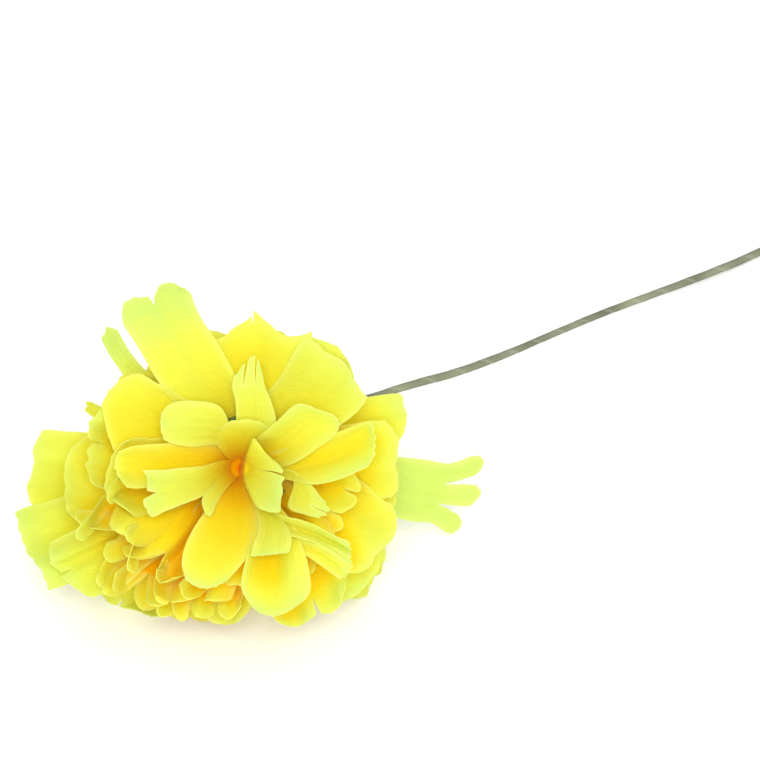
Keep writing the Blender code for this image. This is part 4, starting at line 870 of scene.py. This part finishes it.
def mesh_object(name, points, faces, finish, **values):
    """A smooth object of these points, in metres, that stores the values given for them."""
    mesh = bpy.data.meshes.new(name)
    mesh.from_pydata([tuple(p) for p in points], [], faces)
    mesh.shade_smooth()
    mesh.materials.append(finish)
    for label, numbers in values.items():
        attribute = mesh.attributes.new(label, "FLOAT", "POINT")
        attribute.data.foreach_set("value", np.asarray(numbers, np.float32))
    thing = bpy.data.objects.new(name, mesh)
    bpy.context.scene.collection.objects.link(thing)
    return thing


def thicken(thing, thickness, offset):
    """Gives a surface a thickness in millimetres, to both sides at offset 0 and inwards at -1."""
    solid = thing.modifiers.new("thickness", "SOLIDIFY")
    solid.thickness = thickness * MM
    solid.offset = offset
    bpy.context.view_layer.update()
    graph = bpy.context.evaluated_depsgraph_get()
    mesh = bpy.data.meshes.new_from_object(thing.evaluated_get(graph), depsgraph=graph)
    thing.modifiers.clear()
    thing.data = mesh


def layer_petals(layer):
    """What petal_points or front_petal_points gives for each petal of a layer."""
    if layer == LAYERS:
        return [front_petal_points(number) for number in range(len(FRONT_PETALS))]
    draw = random.Random(SEED * 100 + layer)
    return [petal_points(layer, petal, draw) for petal in PETALS[layer]]


def map_cells(spots):
    """The map's row and column of each point."""
    size = 2 * POCKET_SPAN + 1
    column, row = np.clip(np.round(spots[:, :2]).astype(int) + POCKET_SPAN, 0, size - 1).T
    return row, column


def spread_out(heights):
    """Each cell's mean with its neighbours, up to POCKET_REACH cells away."""
    padded = np.pad(heights, POCKET_REACH, mode="edge")
    steps = range(2 * POCKET_REACH + 1)
    down = sum(padded[k : k + len(heights)] for k in steps) / len(steps)
    return sum(down[:, k : k + len(heights)] for k in steps) / len(steps)


def pocket_map(layers):
    """How high the petals around each place of the face stand, on a grid of 1 mm cells."""
    size = 2 * POCKET_SPAN + 1
    top = np.full((size, size), NO_CLOTH)
    for made in layers.values():
        for spots, *_ in made:
            np.maximum.at(top, map_cells(spots), spots[:, 2])
    known = top > NO_CLOTH
    share = np.maximum(spread_out(known.astype(float)), 1e-6)
    return spread_out(np.where(known, top, 0.0)) / share


def pocket_painted_shade(spots, ceiling):
    """The painted shade of the cloth: from 0 for cloth on top to 1 for cloth deep between other petals,
    which is made golden there, most of all below the middle, where the light from above reaches least."""
    below = POCKET_EVEN - POCKET_BELOW * np.sin(np.arctan2(spots[:, 1], spots[:, 0]))
    deep = ceiling[map_cells(spots)] - spots[:, 2] - POCKET_START
    return below * np.clip(deep / POCKET_DEEP, 0, 1)


def cloth_layer(layer, made, ceiling, finish):
    """One layer's petals as thin cloth."""
    points, faces, tones, rims = [], [], [], []
    for spots, quads, tone, rim in made:
        # Painted shade: cloth deep in a pocket between petals gets a lower, more golden tone, no lower than
        # the pocket floor
        shaded_tone = tone - POCKET_PAINTED_SHADE[layer - 1] * pocket_painted_shade(spots, ceiling)
        start = len(points)
        points.extend(rest_on_table(to_table(spots), layer))
        faces.extend([[start + k for k in quad] for quad in quads])
        tones.extend(np.maximum(shaded_tone, np.minimum(tone, POCKET_FLOOR)))
        rims.extend(rim)
    thing = mesh_object(f"cloth_layer_{layer}", points, faces, finish, tone=tones, rim=rims)
    thicken(thing, CLOTH, 0.0)
    thing.data.set_sharp_from_angle(angle=math.radians(SHARP_ANGLE))
    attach(thing, "root")
    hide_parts(f"petal_layer_{layer}")


def smooth_route(route, count):
    """Evenly spaced points on a smooth curve through the route's own points."""
    knots = np.array(route, float)
    steps = np.linalg.norm(np.diff(knots, axis=0), axis=1)
    at = np.concatenate([[0], np.cumsum(steps)])
    slope = np.gradient(knots, at, axis=0)
    wanted = np.linspace(0, at[-1], count)
    piece = np.clip(np.searchsorted(at, wanted, side="right") - 1, 0, len(steps) - 1)
    width = steps[piece][:, None]
    t = ((wanted - at[piece]) / steps[piece])[:, None]
    one, two = knots[piece], knots[piece + 1]
    ease = t * t * (3 - 2 * t)
    pull = width * (slope[piece] * t * (1 - t) ** 2 - slope[piece + 1] * t * t * (1 - t))
    return one + (two - one) * ease + pull


def taped_stem(finish):
    """The paper tape wound round the wire, with the step of each turn over the last."""
    axis = to_table(np.array([[0.0, 0.0, NECK_DEPTH - step] for step in NECK_STEPS])) / MM
    below_gather = np.array([GATHER_X, GATHER_Y, 0.0])
    route = np.concatenate([axis, np.array(STEM_ROUTE) + below_gather])
    route = smooth_route(route, TAPE_RINGS)
    along = np.concatenate([[0], np.cumsum(np.linalg.norm(np.diff(route, axis=0), axis=1))])
    ahead = np.gradient(route, along, axis=0)
    ahead /= np.linalg.norm(ahead, axis=1)[:, None]
    across = np.cross(ahead, (0.0, 0.0, 1.0))
    across /= np.linalg.norm(across, axis=1)[:, None]
    over = np.cross(across, ahead)
    swell = np.interp(along / along[-1], TAPE_PLACES, TAPE_SWELLS)
    angles = np.linspace(0, 2 * math.pi, TAPE_SIDES, endpoint=False)
    pitch = TAPE_PITCH * (1 + 0.12 * np.sin(along / 17))
    turn = (angles[None, :] / (2 * math.pi) + np.cumsum(np.gradient(along) / pitch)[:, None]) % 1.0
    seam = np.exp(-turn / 0.05) + np.exp(-(1 - turn) / 0.02)
    bumps = 0.02 * np.sin(along / 1.9)[:, None] * np.sin(2 * angles + 1)[None, :]
    radius = TAPE_OUTER * swell[:, None] * (0.93 + 0.1 * (1 - turn) ** 0.7 + bumps)
    points = (
        route[:, None, :]
        + radius[:, :, None] * np.cos(angles)[None, :, None] * across[:, None, :]
        + radius[:, :, None] * np.sin(angles)[None, :, None] * over[:, None, :]
    ).reshape(-1, 3)
    points[:, 2] = np.maximum(points[:, 2], TAPE_LOWEST)
    faces = []
    for ring in range(TAPE_RINGS - 1):
        for side in range(TAPE_SIDES):
            beside = (side + 1) % TAPE_SIDES
            corners = ((ring, side), (ring, beside), (ring + 1, beside), (ring + 1, side))
            faces.append([row * TAPE_SIDES + column for row, column in corners])
    thing = mesh_object("wound_tape", points * MM, faces, finish, seam=seam.reshape(-1))
    thicken(thing, TAPE_THICKNESS, -1.0)
    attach(thing, "root")
    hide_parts("stem_tape")


def dress(node, finish):
    """Gives a node of the solids its finish."""
    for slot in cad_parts[node].material_slots:
        slot.material = finish


def camera():
    """The photograph's view: level with the head's face, the gather left of and below the middle."""
    right, rise, face = head_axes()
    pixel = MM / PIXELS_A_MM
    middle = GATHER + right * GATHER_LEFT * pixel + rise * GATHER_BELOW * pixel
    data = bpy.data.cameras.new("camera")
    data.sensor_width = SENSOR
    data.lens = SENSOR / (PICTURE * pixel) * EYE_DISTANCE
    data.clip_start = 0.01
    thing = bpy.data.objects.new("camera", data)
    bpy.context.scene.collection.objects.link(thing)
    thing.matrix_world = Matrix.Translation(middle + face * EYE_DISTANCE) @ TURNED
    bpy.context.scene.camera = thing


def studio():
    """A pale table, an even white surround and two large soft lights from above."""
    corners = [(x * TABLE, y * TABLE, 0.0) for x, y in ((-1, -1), (1, -1), (1, 1), (-1, 1))]
    n = Nodes("pale_table")
    n.set("Base Color", (0.98, 0.98, 0.98, 1.0))
    n.set("Roughness", 0.9)
    n.set("Specular IOR Level", 0.1)
    mesh_object("table_top", corners, [[0, 1, 2, 3]], n.material)
    world = bpy.data.worlds.new("surround")
    world.use_nodes = True
    background = world.node_tree.nodes["Background"]
    background.inputs["Color"].default_value = (1.0, 1.0, 1.0, 1.0)
    background.inputs["Strength"].default_value = SURROUND
    bpy.context.scene.world = world
    for name, (power, size, place) in LAMPS.items():
        data = bpy.data.lights.new(name, "AREA")
        data.energy = power
        data.shape = "DISK"
        data.size = size
        lamp = bpy.data.objects.new(name, data)
        bpy.context.scene.collection.objects.link(lamp)
        lamp.location = place
        lamp.rotation_euler = (Vector(LAMP_AIM) - Vector(place)).to_track_quat("-Z", "Y").to_euler()
    bpy.context.scene.view_settings.view_transform = "Standard"


camera()
studio()
cloth = cloth_material()
petals = {layer: layer_petals(layer) for layer in range(1, LAYERS + 1)}
heights = pocket_map(petals)
for layer, made in petals.items():
    cloth_layer(layer, made, heights, cloth)
taped_stem(tape_material())
plastic = plastic_material()
dress("support_star", plastic)
dress("calyx", plastic)
dress("stem_wire", steel_material())
